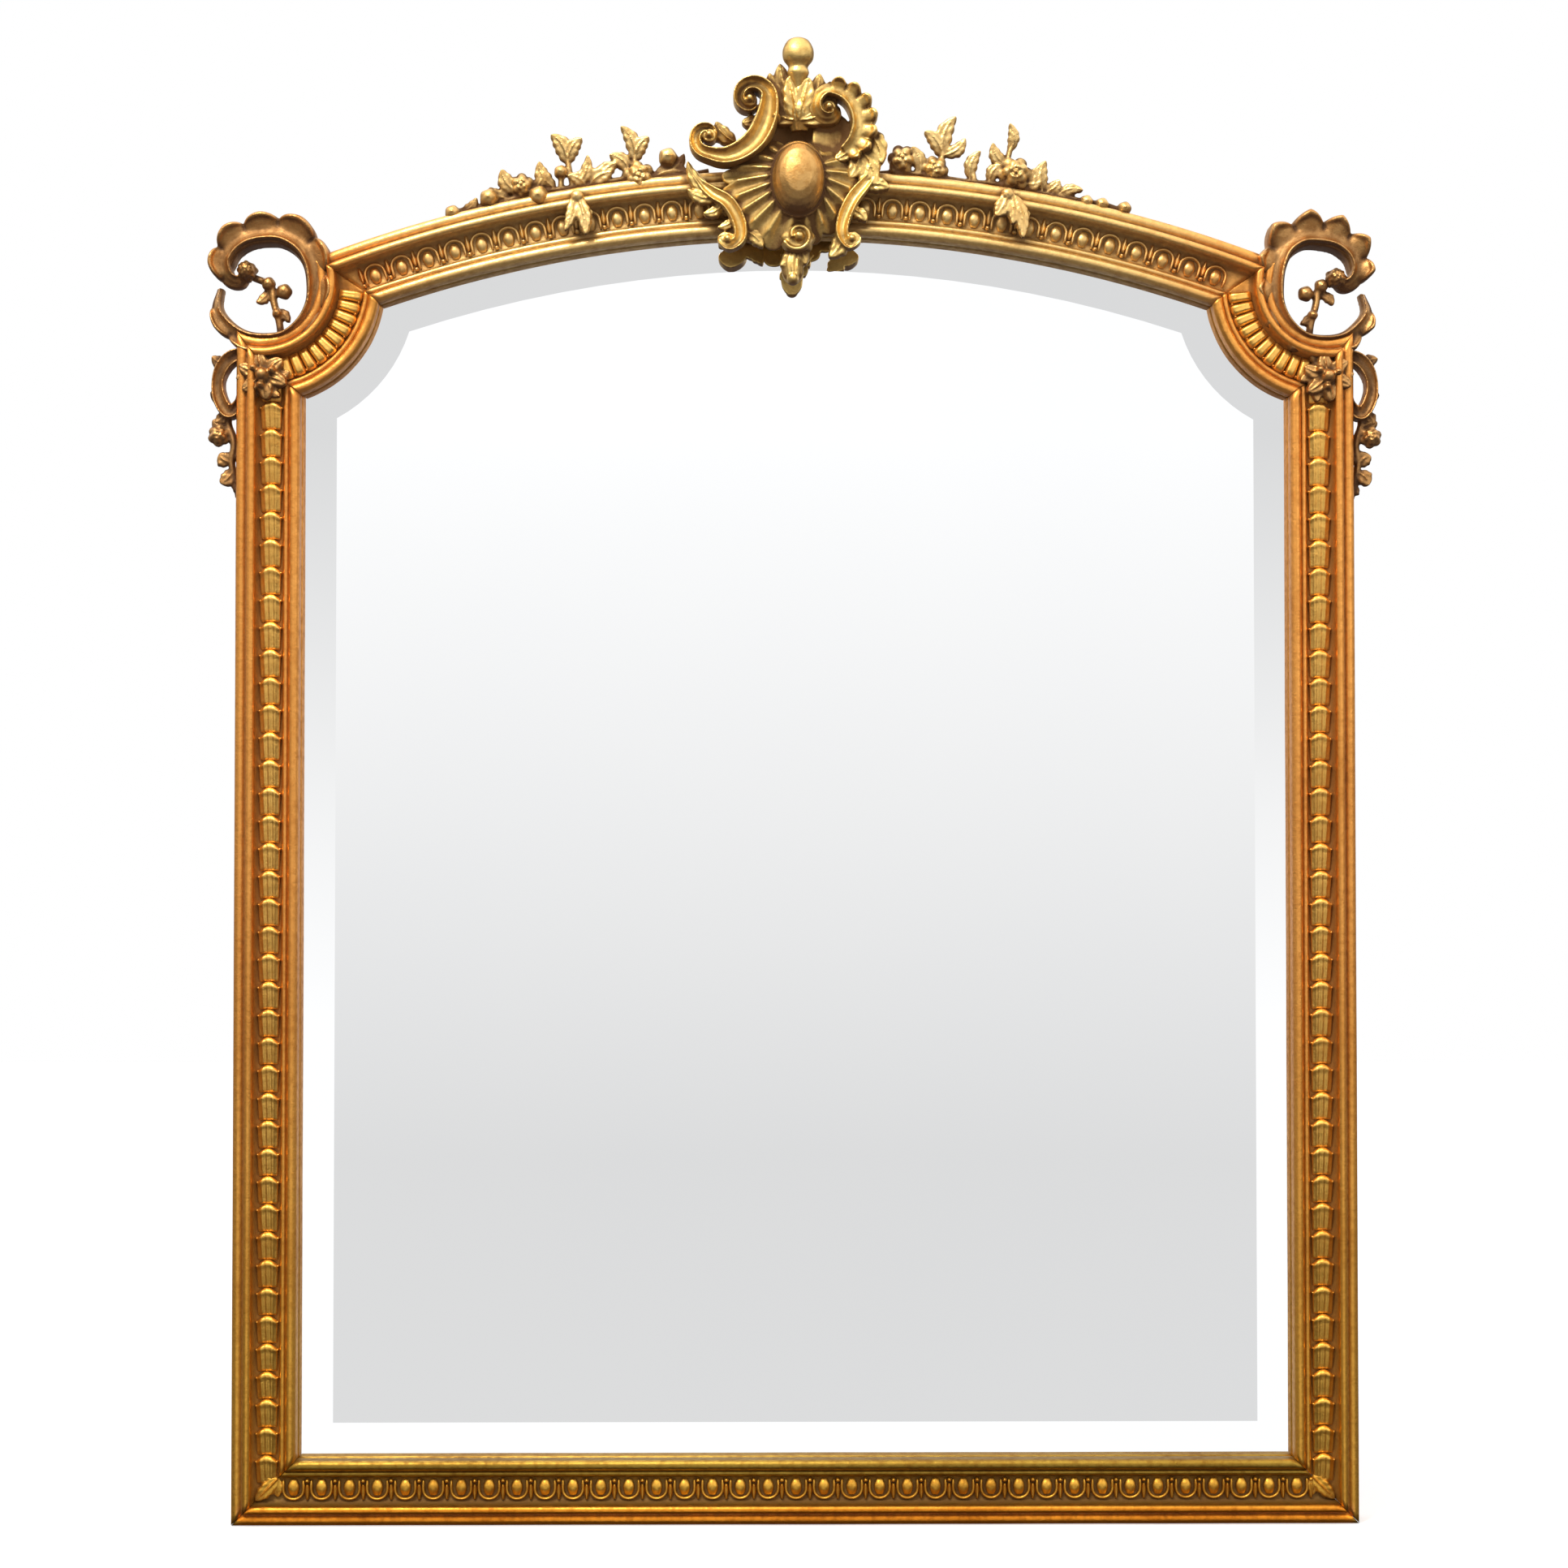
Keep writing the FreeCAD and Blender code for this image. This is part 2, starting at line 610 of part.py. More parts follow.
def sight_outline(offset, depth):
    """The outline of the mirror opening, moved outwards by an offset, at one depth."""
    half = value(SIGHT_HALF_WIDTH) + offset
    foot = size("moulding_width") - offset
    stile = stile_mitre(offset)
    rail = rail_mitre(offset)
    centre = Vector(-value(SHOULDER_ACROSS), 0, value(SHOULDER_HEIGHT))
    middle = (stile - centre).normalize() + (rail - centre).normalize()
    hollow = centre + middle.normalize() * (size("shoulder_radius") - offset)

    def at(place, side):
        return point(-side * place.x, depth, place.z)

    top = point(0, depth, size("arch_apex") + offset)
    edges = [
        Part.LineSegment(point(-half, depth, foot), point(half, depth, foot)),
        Part.LineSegment(point(half, depth, foot), at(stile, 1)),
        Part.Arc(at(stile, 1), at(hollow, 1), at(rail, 1)),
        Part.Arc(at(rail, 1), top, at(rail, -1)),
        Part.Arc(at(rail, -1), at(hollow, -1), at(stile, -1)),
        Part.LineSegment(at(stile, -1), point(-half, depth, foot)),
    ]
    return Part.Wire([edge.toShape() for edge in edges])


def glass_edge_offset():
    return size("rebate_width") - size("glass_clearance")


def glass_back():
    """Depth of the back of the plate, whose bevel touches the lip at the sight edge."""
    edge = size("glass_thickness") - size("bevel_drop")
    slope = size("bevel_drop") / size("bevel_width")
    return size("rebate_depth") - edge - glass_edge_offset() * slope


def make_glass():
    """A plate with a wide ground bevel all round its front."""
    offset = glass_edge_offset()
    back = glass_back()
    edge = back + size("glass_thickness") - size("bevel_drop")
    front = back + size("glass_thickness")
    slab = Part.Face(sight_outline(offset, back)).extrude(Vector(0, back - edge, 0))
    rim = sight_outline(offset, edge)
    field = sight_outline(offset - size("bevel_width"), front)
    bevel = Part.makeLoft([rim, field], True, True)
    return keep(feature("mirror_glass", slab.fuse(bevel)))


def make_blocks():
    """Small hardwood blocks that fill the gap between plate and rebate."""
    gap = size("glass_clearance")
    length = size("block_length")
    edge = size("glass_thickness") - size("bevel_drop")
    half = value(SIGHT_HALF_WIDTH) + size("rebate_width")
    foot = size("moulding_width") - size("rebate_width")
    blocks = []
    for side in (-1, 1):
        across = side * half / 2
        blocks.append(Part.makeBox(length, edge, gap,
                                   point(across - length / 2, glass_back() + edge, foot)))
        for height in (foot + length, value(LOWER_BATTEN), value(UPPER_BATTEN)):
            inner = side * half - (gap if side > 0 else 0)
            blocks.append(Part.makeBox(gap, edge, length,
                                       point(inner, glass_back() + edge, height)))
    return keep(feature("glazing_blocks", Part.makeCompound(blocks)))


def make_planks():
    """Upright backboard planks, cut to the arched outline of the recess."""
    offset = size("board_ledge") - size("board_clearance")
    front = size("board_seat")
    whole = Part.Face(sight_outline(offset, front)).extrude(Vector(0, size("plank_thickness"), 0))
    half = value(SIGHT_HALF_WIDTH) + offset
    count = int(size("plank_count"))
    width = 2 * half / count
    for i in range(count):
        left = -half + width * i + (size("plank_gap") / 2 if i else 0)
        right = -half + width * (i + 1) - (size("plank_gap") / 2 if i < count - 1 else 0)
        strip = Part.makeBox(right - left, 100, 2000, Vector(left, -100, 0))
        keep(feature(f"backboard_plank_{i + 1}", whole.common(strip)))


def make_batten(name, height):
    """A batten screwed across the planks."""
    batten = document.addObject("Part::Box", name)
    batten.Label = name
    inner = f"({SIGHT_HALF_WIDTH} + dims.board_ledge - dims.board_clearance)"
    batten.setExpression("Length", f"2 * {inner}")
    batten.setExpression("Width", "dims.batten_thickness")
    batten.setExpression("Height", "dims.batten_width")
    batten.setExpression("Placement.Base.x", f"-{inner}")
    batten.setExpression("Placement.Base.y", "dims.plank_thickness - dims.board_seat")
    batten.setExpression("Placement.Base.z", f"{height} - dims.batten_width / 2")
    return keep(batten)


# ---------------------------------------------------------------- hangers

KNUCKLE_RADIUS = "(dims.ring_wire + dims.ring_clearance + dims.knuckle_wall)"
HINGE_DEPTH = f"(dims.hanger_recess - {KNUCKLE_RADIUS})"
RING_DROP = 1.25


def bound(kind, name, **rules):
    """A primitive whose properties follow expressions. Underscores in a name stand for dots."""
    item = document.addObject(kind, name)
    for prop, text in rules.items():
        item.setExpression(prop.replace("Base_", "Placement.Base."), text)
    return item


def lying_rod(name, radius, length, middle):
    """A round rod along X on the axis of the hinge."""
    rod = bound("Part::Cylinder", name, Radius=radius, Height=length)
    rod.Placement = Placement(Vector(), Rotation(Vector(0, 1, 0), 90))
    rod.setExpression("Placement.Base.x", f"{middle} - {length} / 2")
    rod.setExpression("Placement.Base.y", f"-{HINGE_DEPTH}")
    rod.setExpression("Placement.Base.z", HANGER_HEIGHT)
    return rod


def screw_hole(name, middle, height):
    """A twelve-sided punch for a screw hole, right through the plate."""
    punch = bound("Part::Prism", name, Circumradius="1.08 * dims.screw_radius",
                  Height="3 * dims.hanger_plate")
    punch.Polygon = 12
    punch.Placement = Placement(Vector(), Rotation(Vector(1, 0, 0), 90))
    punch.setExpression("Placement.Base.x", middle)
    punch.setExpression("Placement.Base.y", "2 * dims.hanger_plate - dims.hanger_recess")
    punch.setExpression("Placement.Base.z", height)
    return punch


def make_hanger(label, side):
    """A strap plate let into the back of a stile, with a knuckle for its ring."""
    middle = f"({side} * (dims.frame_half_width - dims.hanger_inset))"
    name = f"{label}_hanger_plate"
    strap = bound("Part::Box", f"{name}_strap", Length="dims.plate_width",
                  Width="dims.hanger_plate", Height="dims.plate_length",
                  Base_x=f"{middle} - dims.plate_width / 2", Base_y="-dims.hanger_recess",
                  Base_z=HANGER_HEIGHT)
    barrel = lying_rod(f"{name}_barrel", KNUCKLE_RADIUS, "dims.knuckle_length", middle)
    bore = lying_rod(f"{name}_bore", "(dims.ring_wire + dims.ring_clearance)",
                     "(2 * dims.plate_width)", middle)
    holes = [screw_hole(f"{name}_hole_{i}", middle, height)
             for i, height in enumerate(screw_heights())]
    whole = document.addObject("Part::MultiFuse", f"{name}_blank")
    whole.Shapes = [strap, barrel]
    tools = document.addObject("Part::MultiFuse", f"{name}_tools")
    tools.Shapes = [bore] + holes
    plate = document.addObject("Part::Cut", name)
    plate.Base = whole
    plate.Tool = tools
    plate.Label = name
    document.recompute()
    keep(plate)
    return keep(feature(f"{label}_hanger_ring", ring_shape(value(middle))))


def ring_shape(middle):
    """A flattened ring: a straight bar in the knuckle and a bow of six-sided wire below it."""
    half = size("ring_width") / 2
    depth = value(HINGE_DEPTH)
    height = value(HANGER_HEIGHT)
    corners = [(-half, 0), (-half, -0.55 * half), (-0.55 * half, -RING_DROP * half),
               (0.55 * half, -RING_DROP * half), (half, -0.55 * half), (half, 0)]
    rings = []
    for i, (across, up) in enumerate(corners):
        before, after = corners[i - 1], corners[(i + 1) % len(corners)]
        inward = Vector(before[0] - across, 0, before[1] - up).normalize()
        onward = Vector(after[0] - across, 0, after[1] - up).normalize()
        mitre = (inward + onward).normalize()
        reach = size("ring_wire") / math.sin(math.acos(mitre.dot(onward)))
        rings.append([point(middle + across, depth, height + up)
                      + mitre * (reach * math.cos(turn))
                      + Vector(0, size("ring_wire") * math.sin(turn), 0)
                      for turn in (math.radians(60 * k) for k in range(6))])
    return skin_loop(rings)


def make_hanger_screws():
    """Wood screws through the hanger plates into the stiles."""
    seat = value("dims.hanger_recess - dims.hanger_plate")
    radius = size("screw_radius")
    stations = ((1.9 * radius, seat - 1.4), (1.9 * radius, seat), (radius, seat),
                (radius, seat + size("screw_length") - 4), (0, seat + size("screw_length")))
    screws = []
    for side in (-1, 1):
        middle = side * value("dims.frame_half_width - dims.hanger_inset")
        for height in screw_heights():
            rings = []
            for reach, depth in stations:
                turns = [math.pi * k / 4 for k in range(8)]
                ring = [point(middle + reach * math.cos(a), depth, value(height) + reach * math.sin(a))
                        for a in turns]
                rings.append(ring if reach else [point(middle, depth, value(height))])
            screws.append(skin(rings))
    return keep(feature("hanger_screws", Part.makeCompound(screws)))


# ---------------------------------------------------------------- crest

def crest_at(across, up):
    """A place on the crest, from its datum."""
    return (across, value("dims.arch_apex - dims.crest_drop") + up)


def make_support():
    """The wooden block behind the carving, glued to the top of the arch."""
    top = size("arch_apex") + size("moulding_width") + size("support_height")
    low = size("arch_apex") + size("moulding_width") - 20
    back = size("crest_back") - size("support_thickness")
    width = size("support_width")
    block = Part.makeBox(width, size("support_thickness"), top - low,
                         point(2 - width / 2, back + size("support_thickness"), low))
    carved("crest_support", [block], beds=BEDS[:1])


def make_shell():
    """The fluted shell: a scalloped fan whose flutes run in to the flat bed of the boss."""
    centre = crest_at(-8, 54)
    back = size("crest_back")
    count = 36
    rings = []
    layers = ((1.0, 0.0, 0.1), (1.0, 5.0, 0.1), (0.5, 22.0, 0.04))
    for reach, rise, scallop in layers:
        ring = []
        for i in range(count):
            turn = 2 * math.pi * i / count
            lobe = 1 - (scallop if i % 2 else 0)
            across = centre[0] + 80 * reach * lobe * math.cos(turn) + (1 - reach) * 18
            up = centre[1] + 64 * reach * lobe * math.sin(turn) + (1 - reach) * 22
            valley = -3 if i % 2 and rise else 0
            ring.append(point(across, back + rise + valley * reach, up))
        rings.append(ring)
    bed = point(centre[0] + 9, back + 22, centre[1] + 11)
    rings.append([bed])
    return carved("crest_shell", [skin(rings)])


def make_boss():
    """The smooth egg-shaped boss."""
    centre = crest_at(2, 67)
    back = size("crest_back") + 14
    rings = []
    for reach, rise in ((0.9, 0), (1, 10), (0.94, 22), (0.72, 36), (0.38, 44)):
        ring = []
        for i in range(16):
            turn = 2 * math.pi * i / 16
            ring.append(point(centre[0] + 30 * reach * math.cos(turn), back + rise,
                              centre[1] + 41 * reach * math.sin(turn)))
        rings.append(ring)
    rings.append([point(centre[0], back + 46, centre[1])])
    return carved("crest_boss", [skin(rings)], ["crest_shell"])


def crest_path(places):
    return [crest_at(*place) for place in places]


def make_left_scroll():
    """The S of two volutes that climbs from the garland to the left of the finial."""
    path = spiral((-100, 116), (6, 20), (-360, -90), 6)
    path += [(-82, 93), (-63, 99), (-46, 113), (-35, 134), (-31, 154)]
    path += spiral((-52, 158), (21, 7), (25, 300), 6)
    count = len(path)
    body = strand(crest_path(path), size("crest_back"), swelling(5.5, 12, count),
                  swelling(24, 32, count), ROUND)
    eyes = [bloom(*crest_at(*eye), size("crest_back"), 8, 34) for eye in ((-99, 117), (-53, 158))]
    return carved("crest_left_scroll", [body] + eyes, ["crest_shell", "crest_boss"])


def make_right_scroll():
    """The C-scroll right of the finial, whose tail ends in a pitted leaf."""
    path = spiral((38, 149), (7, 22), (380, 90), 6)
    path += [(58, 165), (71, 150), (75, 130), (69, 111), (56, 98)]
    count = len(path)
    body = strand(crest_path(path), size("crest_back"), swelling(5.5, 12, count),
                  swelling(24, 32, count), ROUND)
    eye = bloom(*crest_at(37, 149), size("crest_back"), 8, 34)
    return carved("crest_right_scroll", [body, eye], ["crest_shell", "crest_boss"])


def make_finial():
    """The bud on top: a dark lower bulb and a round bright top."""
    levels = [(5, 158), (9, 166), (15, 180), (12, 192), (17, 205), (17, 217), (10, 227), (0, 231)]
    levels = [(radius, crest_at(0, up)[1]) for radius, up in levels]
    bud = upright(2, size("crest_back") + 16, levels)
    return carved("crest_finial", [bud], ["crest_support"])


def make_flames():
    """Flame leaves that stand up round the foot of the finial."""
    back = size("crest_back")
    tips = [(-19, 201), (-31, 190), (-38, 172), (27, 189), (39, 180), (44, 168)]
    leaves = [leaf(crest_at(2, 134), crest_at(*tip), 13, back, 20, 0.05) for tip in tips]
    leaves.append(strand(crest_path([(4, 128), (3, 146), (3, 168)]), back, [11, 16, 10],
                         [10, 22, 20]))
    return carved("crest_flame_leaves", leaves,
                  ["crest_finial", "crest_left_scroll", "crest_right_scroll", "crest_shell",
                   "crest_support"])


def make_acanthus():
    """The acanthus stems at both sides of the shell, each ending in a small volute."""
    back = size("crest_back") + 0.4
    stem = [(-114, 70), (-96, 54), (-78, 42), (-66, 22), (-64, 2), (-76, -8)]
    parts = [strand(crest_path(stem), back, [3, 7, 8, 8, 7, 5], [10, 18, 22, 22, 22, 18], ROUND)]
    parts.append(bloom(*crest_at(-79, 0), back, 12, 26, 8))
    parts.append(leaf(crest_at(-92, 50), crest_at(-126, 92), 10, back, 14))
    parts.append(leaf(crest_at(-88, 46), crest_at(-124, 52), 9, back, 12))
    parts.append(leaf(crest_at(-60, 14), crest_at(-36, -8), 9, back, 12))
    shared = ["crest_shell", "crest_support", "crest_boss", "crest_rosette"]
    carved("crest_left_acanthus", parts, shared + ["crest_left_scroll"], BEDS[:1])
    stem = [(92, 82), (78, 64), (64, 46), (54, 24), (52, 6), (60, -6)]
    parts = [strand(crest_path(stem), back, [3, 7, 8, 8, 7, 5], [10, 18, 22, 22, 22, 18], ROUND)]
    parts.append(bloom(*crest_at(64, 1), back, 11, 26, 8))
    sprays = (((72, 132), (98, 88), 11), ((66, 110), (90, 64), 10), ((80, 62), (106, 60), 9),
              ((54, 14), (38, -20), 10))
    for index, (start, end, half) in enumerate(sprays):
        parts.append(leaf(crest_at(*start), crest_at(*end), half, back + 1 + index, 16))
    carved("crest_right_acanthus", parts, shared + ["crest_right_scroll"], BEDS[:1])


def make_rosette():
    """The rosette under the boss, and the pendant that drops from it over the glass."""
    back = size("crest_back") + 0.3
    beside = ["crest_shell", "crest_boss"]
    carved("crest_rosette", [bloom(*crest_at(2.3, 3.4), back, 21, 34, 10, 0.86, 0.8)], beside)
    drop = strand(crest_path([(0, -8), (-4, -26), (-4, -44), (-4, -56)]), back, [9, 14, 12, 5],
                  [16, 18, 16, 8], ROUND)
    carved("crest_pendant", [drop], beside + ["crest_rosette"])


# ---------------------------------------------------------------- garlands

def arch_at(across, rise):
    """A place above or below the outer edge of the arch."""
    outer = size("arch_radius") + size("moulding_width")
    return (across, value(ARCH_CENTRE) + math.sqrt(outer ** 2 - across ** 2) + rise)


LEFT_LEAVES = [
    (-386, 0, -366, 12, 6), (-318, 8, -338, 38, 9), (-315, -6, -346, -13, 7),
    (-278, 6, -295, 38, 8), (-263, 33, -281, 67, 9), (-262, 33, -246, 57, 8),
    (-255, 2, -239, 36, 7), (-238, 0, -212, 12, 10), (-185, 24, -201, 64, 8),
    (-185, 24, -169, 48, 8), (-190, 10, -214, 33, 8), (-165, 0, -122, 0, 11),
    (-155, 4, -128, 24, 7),
]
RIGHT_LEAVES = [
    (168, 28, 148, 53, 8), (169, 28, 184, 74, 9), (170, 28, 195, 50, 7), (200, 4, 212, 38, 7),
    (247, 44, 246, 75, 6), (243, 26, 226, 49, 7), (268, 2, 274, 28, 7), (284, 4, 287, 39, 8),
    (288, 4, 303, 20, 7), (288, 2, 314, -16, 7), (142, 2, 134, 34, 7),
]
LEFT_BUDS = [(-394, 2, 9), (-352, 8, 11), (-295, -2, 12), (-270, 22, 8), (-147, 22, 11)]
RIGHT_BUDS = [(334, 2, 8), (352, 3, 8), (378, 5, 8)]
LEFT_ROSES = [(-315, 15, 15), (-180, 3, 19)]
RIGHT_ROSES = [(122, 19, 17), (160, 11, 16), (252, 18, 20)]
LEFT_STEMS = [(-256, 0, -263, 37), (-188, 0, -185, 28), (-270, 0, -270, 24), (-140, 0, -147, 22)]
RIGHT_STEMS = [(166, 0, 169, 34), (236, 0, 247, 48), (206, 0, 204, 12)]


def make_garland(name, leaves, buds, roses, stems, ends):
    """Leaves, buds and roses on a stem that lies along the outer edge of the arch."""
    back = size("carving_back")
    lie = size("outer_depth") - 12
    steps = 6
    run = [arch_at(ends[0] + (ends[1] - ends[0]) * i / steps, 2.5) for i in range(steps + 1)]
    parts = [strand(run, lie, [4] * (steps + 1), [9] * (steps + 1))]
    for x0, rise0, x1, rise1 in stems:
        path = [arch_at(x0, rise0), arch_at(x1, rise1)]
        parts.append(strand(path, lie + 3, [3, 2.5], [6, 5]))
    for index, (x0, rise0, x1, rise1, half) in enumerate(leaves):
        stagger = 0.37 * (index % 7)
        parts.append(leaf(arch_at(x0, rise0), arch_at(x1, rise1), half, lie + 4 + stagger, 8))
    for across, rise, radius in buds:
        parts.append(bloom(*arch_at(across, rise), lie - 2, radius, radius * 1.5 + 9, 5))
    for across, rise, radius in roses:
        parts.append(bloom(*arch_at(across, rise), back, radius, radius + 22, 6, 0.9, 0.7))
    return carved(name, parts, CREST_NODES, BEDS)


def make_drops(name, sprays):
    """Leaves that hang from a garland over the front of the moulding."""
    back = size("crest_back") - 0.5
    parts = [leaf(arch_at(x0, r0), arch_at(x1, r1), half, back, 9) for x0, r0, x1, r1, half in sprays]
    garland = name.replace("drop_leaves", "garland")
    return carved(name, parts, [garland], BEDS[:1])


# ---------------------------------------------------------------- corner carvings

LEFT_VOLUTE = [
    (-18, 12, 5), (-27, 1, 7), (-40, 6, 9), (-46, 24, 11), (-38, 42, 13), (-21, 55, 14),
    (2, 60, 14), (26, 59, 15), (48, 46, 15), (60, 25, 13), (64, 0, 12), (61, -26, 11),
    (49, -49, 11), (28, -65, 10), (3, -69, 10), (-22, -64, 9), (-42, -50, 8), (-54, -30, 6),
    (-50, -6, 2),
]
RIGHT_VOLUTE = [
    (10, 6, 5), (20, -1, 7), (32, 6, 9), (37, 22, 11), (31, 40, 13), (14, 54, 14), (-8, 60, 15),
    (-32, 59, 15), (-52, 46, 15), (-61, 25, 13), (-64, 0, 12), (-61, -26, 11), (-49, -49, 11),
    (-28, -65, 10), (-3, -69, 10), (20, -64, 9), (38, -50, 8), (48, -32, 6), (42, -10, 2),
]


def corner_at(side, across, up):
    """A place on a corner carving, from the centre of its shoulder."""
    return (side * value(SHOULDER_ACROSS) + across, value(SHOULDER_HEIGHT) + up)


def make_volute(name, side, stations, teeth):
    """An open C-scroll with a toothed outer edge and a ball in its curl."""
    back = size("carving_back")
    path = [corner_at(side, x, z) for x, z, half in stations]
    count = len(stations)
    rises = [20 + 18 * math.sin(math.pi * min(i + 2, count - 1) / (count + 1)) for i in range(count)]
    parts = [strand(path, back, [half for x, z, half in stations], rises, GABLE)]
    for index in teeth:
        x, z, half = stations[index]
        reach = math.hypot(x, z)
        out = (x / reach, z / reach)
        start = corner_at(side, x, z)
        end = corner_at(side, x + out[0] * (half + 7), z + out[1] * (half + 7))
        parts.append(strand([start, ((start[0] + 3 * end[0]) / 4, (start[1] + 3 * end[1]) / 4), end],
                            back + 4, [9, 8, 0], [24, 14, 0]))
    parts.append(bloom(*corner_at(side, stations[0][0], stations[0][1] + 2), back + 8, 12, 30))
    return carved(name, parts, beds=BEDS)


def make_sprig(name, side, volute):
    """A sprig of two buds that bridges the hole of a volute."""
    back = size("carving_back") + 8
    turn = -side
    path = [(-12, 8), (8, -2), (12, -22), (18, -44), (20, -62)]
    path = [corner_at(side, turn * x, z) for x, z in path]
    parts = [strand(path, back, [3, 3, 3, 3, 3], [8] * 5, ROD)]
    parts.append(bloom(*corner_at(side, turn * 6, 0), back - 2, 8, 16))
    parts.append(bloom(*corner_at(side, turn * 24, -9), back - 2, 9, 16))
    parts.append(strand([corner_at(side, turn * 8, -2), corner_at(side, turn * 24, -9)], back,
                        [3, 3], [8, 8], ROD))
    return carved(name, parts, [volute], BEDS)


def make_cluster(name, side, volute):
    """The flower cluster where the volute meets the stile."""
    back = size("floor_depth")
    turn = -side
    middle = corner_at(side, 2 * turn, -107)
    parts = [bloom(*middle, back, 16, 34, 10, 0.75, 0.8)]
    for step in range(6):
        angle = math.radians(60 * step + 20)
        end = (middle[0] + 30 * math.cos(angle), middle[1] + 30 * math.sin(angle))
        parts.append(leaf(middle, end, 8, back + 4, 24, 0.1))
    return carved(name, parts, [volute], BEDS)


def make_loop(name, side, volute, cluster):
    """The acanthus loop outside the stile, under the volute."""
    back = size("carving_back")
    turn = -side
    path = [(-14, -82), (-32, -84), (-45, -96), (-51, -114), (-48, -134), (-38, -148),
            (-27, -138), (-25, -120)]
    path = [corner_at(side, turn * x, z) for x, z in path]
    parts = [strand(path, back, [6, 8, 8, 7, 8, 8, 6, 4], [20, 24, 24, 22, 24, 24, 20, 14], ROUND)]
    for x0, z0, x1, z1 in ((-42, -92, -60, -84), (-48, -128, -62, -126), (-42, -146, -54, -160)):
        parts.append(leaf(corner_at(side, turn * x0, z0), corner_at(side, turn * x1, z1), 7,
                          back + 4, 14))
    return carved(name, parts, [volute, cluster], BEDS)


def make_drop(name, side, loop):
    """A bud and small leaves that run down the outside of the stile."""
    back = size("carving_back")
    turn = -side
    path = [(-36, -142), (-40, -160), (-33, -184), (-36, -206), (-31, -228), (-31, -246)]
    path = [corner_at(side, turn * x, z) for x, z in path]
    parts = [strand(path, back + 6, [4, 4, 5, 4, 4, 0], [10, 10, 12, 10, 8, 0], ROUND)]
    parts.append(bloom(*corner_at(side, turn * -50, -175), back + 2, 13, 22, 10, 0.8))
    for x0, z0, x1, z1 in ((-38, -165, -58, -158), (-36, -206, -50, -196), (-34, -214, -48, -230)):
        parts.append(leaf(corner_at(side, turn * x0, z0), corner_at(side, turn * x1, z1), 7,
                          back + 6, 10))
    return carved(name, parts, [loop], BEDS)


stile_run("left_stile_cups", -1)
stile_run("right_stile_cups", 1)
bottom_run()
top_run()
shoulder_run("left_shoulder_gadroons", -1)
shoulder_run("right_shoulder_gadroons", 1)
make_glass()
make_blocks()
make_planks()
make_batten("lower_back_batten", LOWER_BATTEN)
make_batten("upper_back_batten", UPPER_BATTEN)
make_hanger("left", -1)
make_hanger("right", 1)
make_hanger_screws()
make_support()
make_shell()
make_boss()
make_left_scroll()
make_right_scroll()
make_finial()
make_flames()
make_rosette()
make_acanthus()
CREST_NODES = [name for name in NODES if name.startswith("crest_")]
make_garland("left_garland", LEFT_LEAVES, LEFT_BUDS, LEFT_ROSES, LEFT_STEMS, (-400, -100))
make_garland("right_garland", RIGHT_LEAVES, RIGHT_BUDS, RIGHT_ROSES, RIGHT_STEMS, (96, 384))
make_drops("left_drop_leaves", [(-250, -14, -240, -60, 8), (-254, -14, -264, -52, 6)])
make_drops("right_drop_leaves", [(242, -12, 228, -40, 9), (246, -12, 247, -46, 7),
                                 (250, -12, 259, -60, 8)])
for label, side, stations in (("left", -1, LEFT_VOLUTE), ("right", 1, RIGHT_VOLUTE)):
    make_volute(f"{label}_corner_volute", side, stations, range(4, 11, 2))
    make_sprig(f"{label}_corner_sprig", side, f"{label}_corner_volute")
    make_cluster(f"{label}_corner_flowers", side, f"{label}_corner_volute")
    make_loop(f"{label}_corner_loop", side, f"{label}_corner_volute", f"{label}_corner_flowers")
    make_drop(f"{label}_corner_drop", side, f"{label}_corner_loop")

document.recompute()
failed = [item.Name for item in document.Objects
          if "Invalid" in item.State or "Error" in item.State]
if failed:
    raise RuntimeError(f"objects that did not build: {failed}")
broken = [name for name, node in NODES.items()
          if node.Shape.isNull() or not node.Shape.isValid()]
if broken:
    raise RuntimeError(f"sub-parts without a valid shape: {broken}")
os.makedirs("parts", exist_ok=True)
for name, node in NODES.items():
    node.Shape.exportStep(f"parts/{name}.step")
    box = node.Shape.BoundBox
    print(f"{name}: {len(node.Shape.Solids)} solids, {node.Shape.Volume / 1000:.1f} cm3, "
          f"x {box.XMin:.1f}..{box.XMax:.1f} y {box.YMin:.1f}..{box.YMax:.1f} "
          f"z {box.ZMin:.1f}..{box.ZMax:.1f}")
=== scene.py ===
# %% [markdown]
# # A gilt trumeau mirror
# The object is an arched overmantel mirror of carved, gessoed and gilded wood. Its measured solids
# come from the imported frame, in metres: X to the right, Y into the wall, Z up. This script dresses
# them: it turns the mouldings smooth, carves the ornament, and gives every surface its finish.

# %% Load the frame
import math

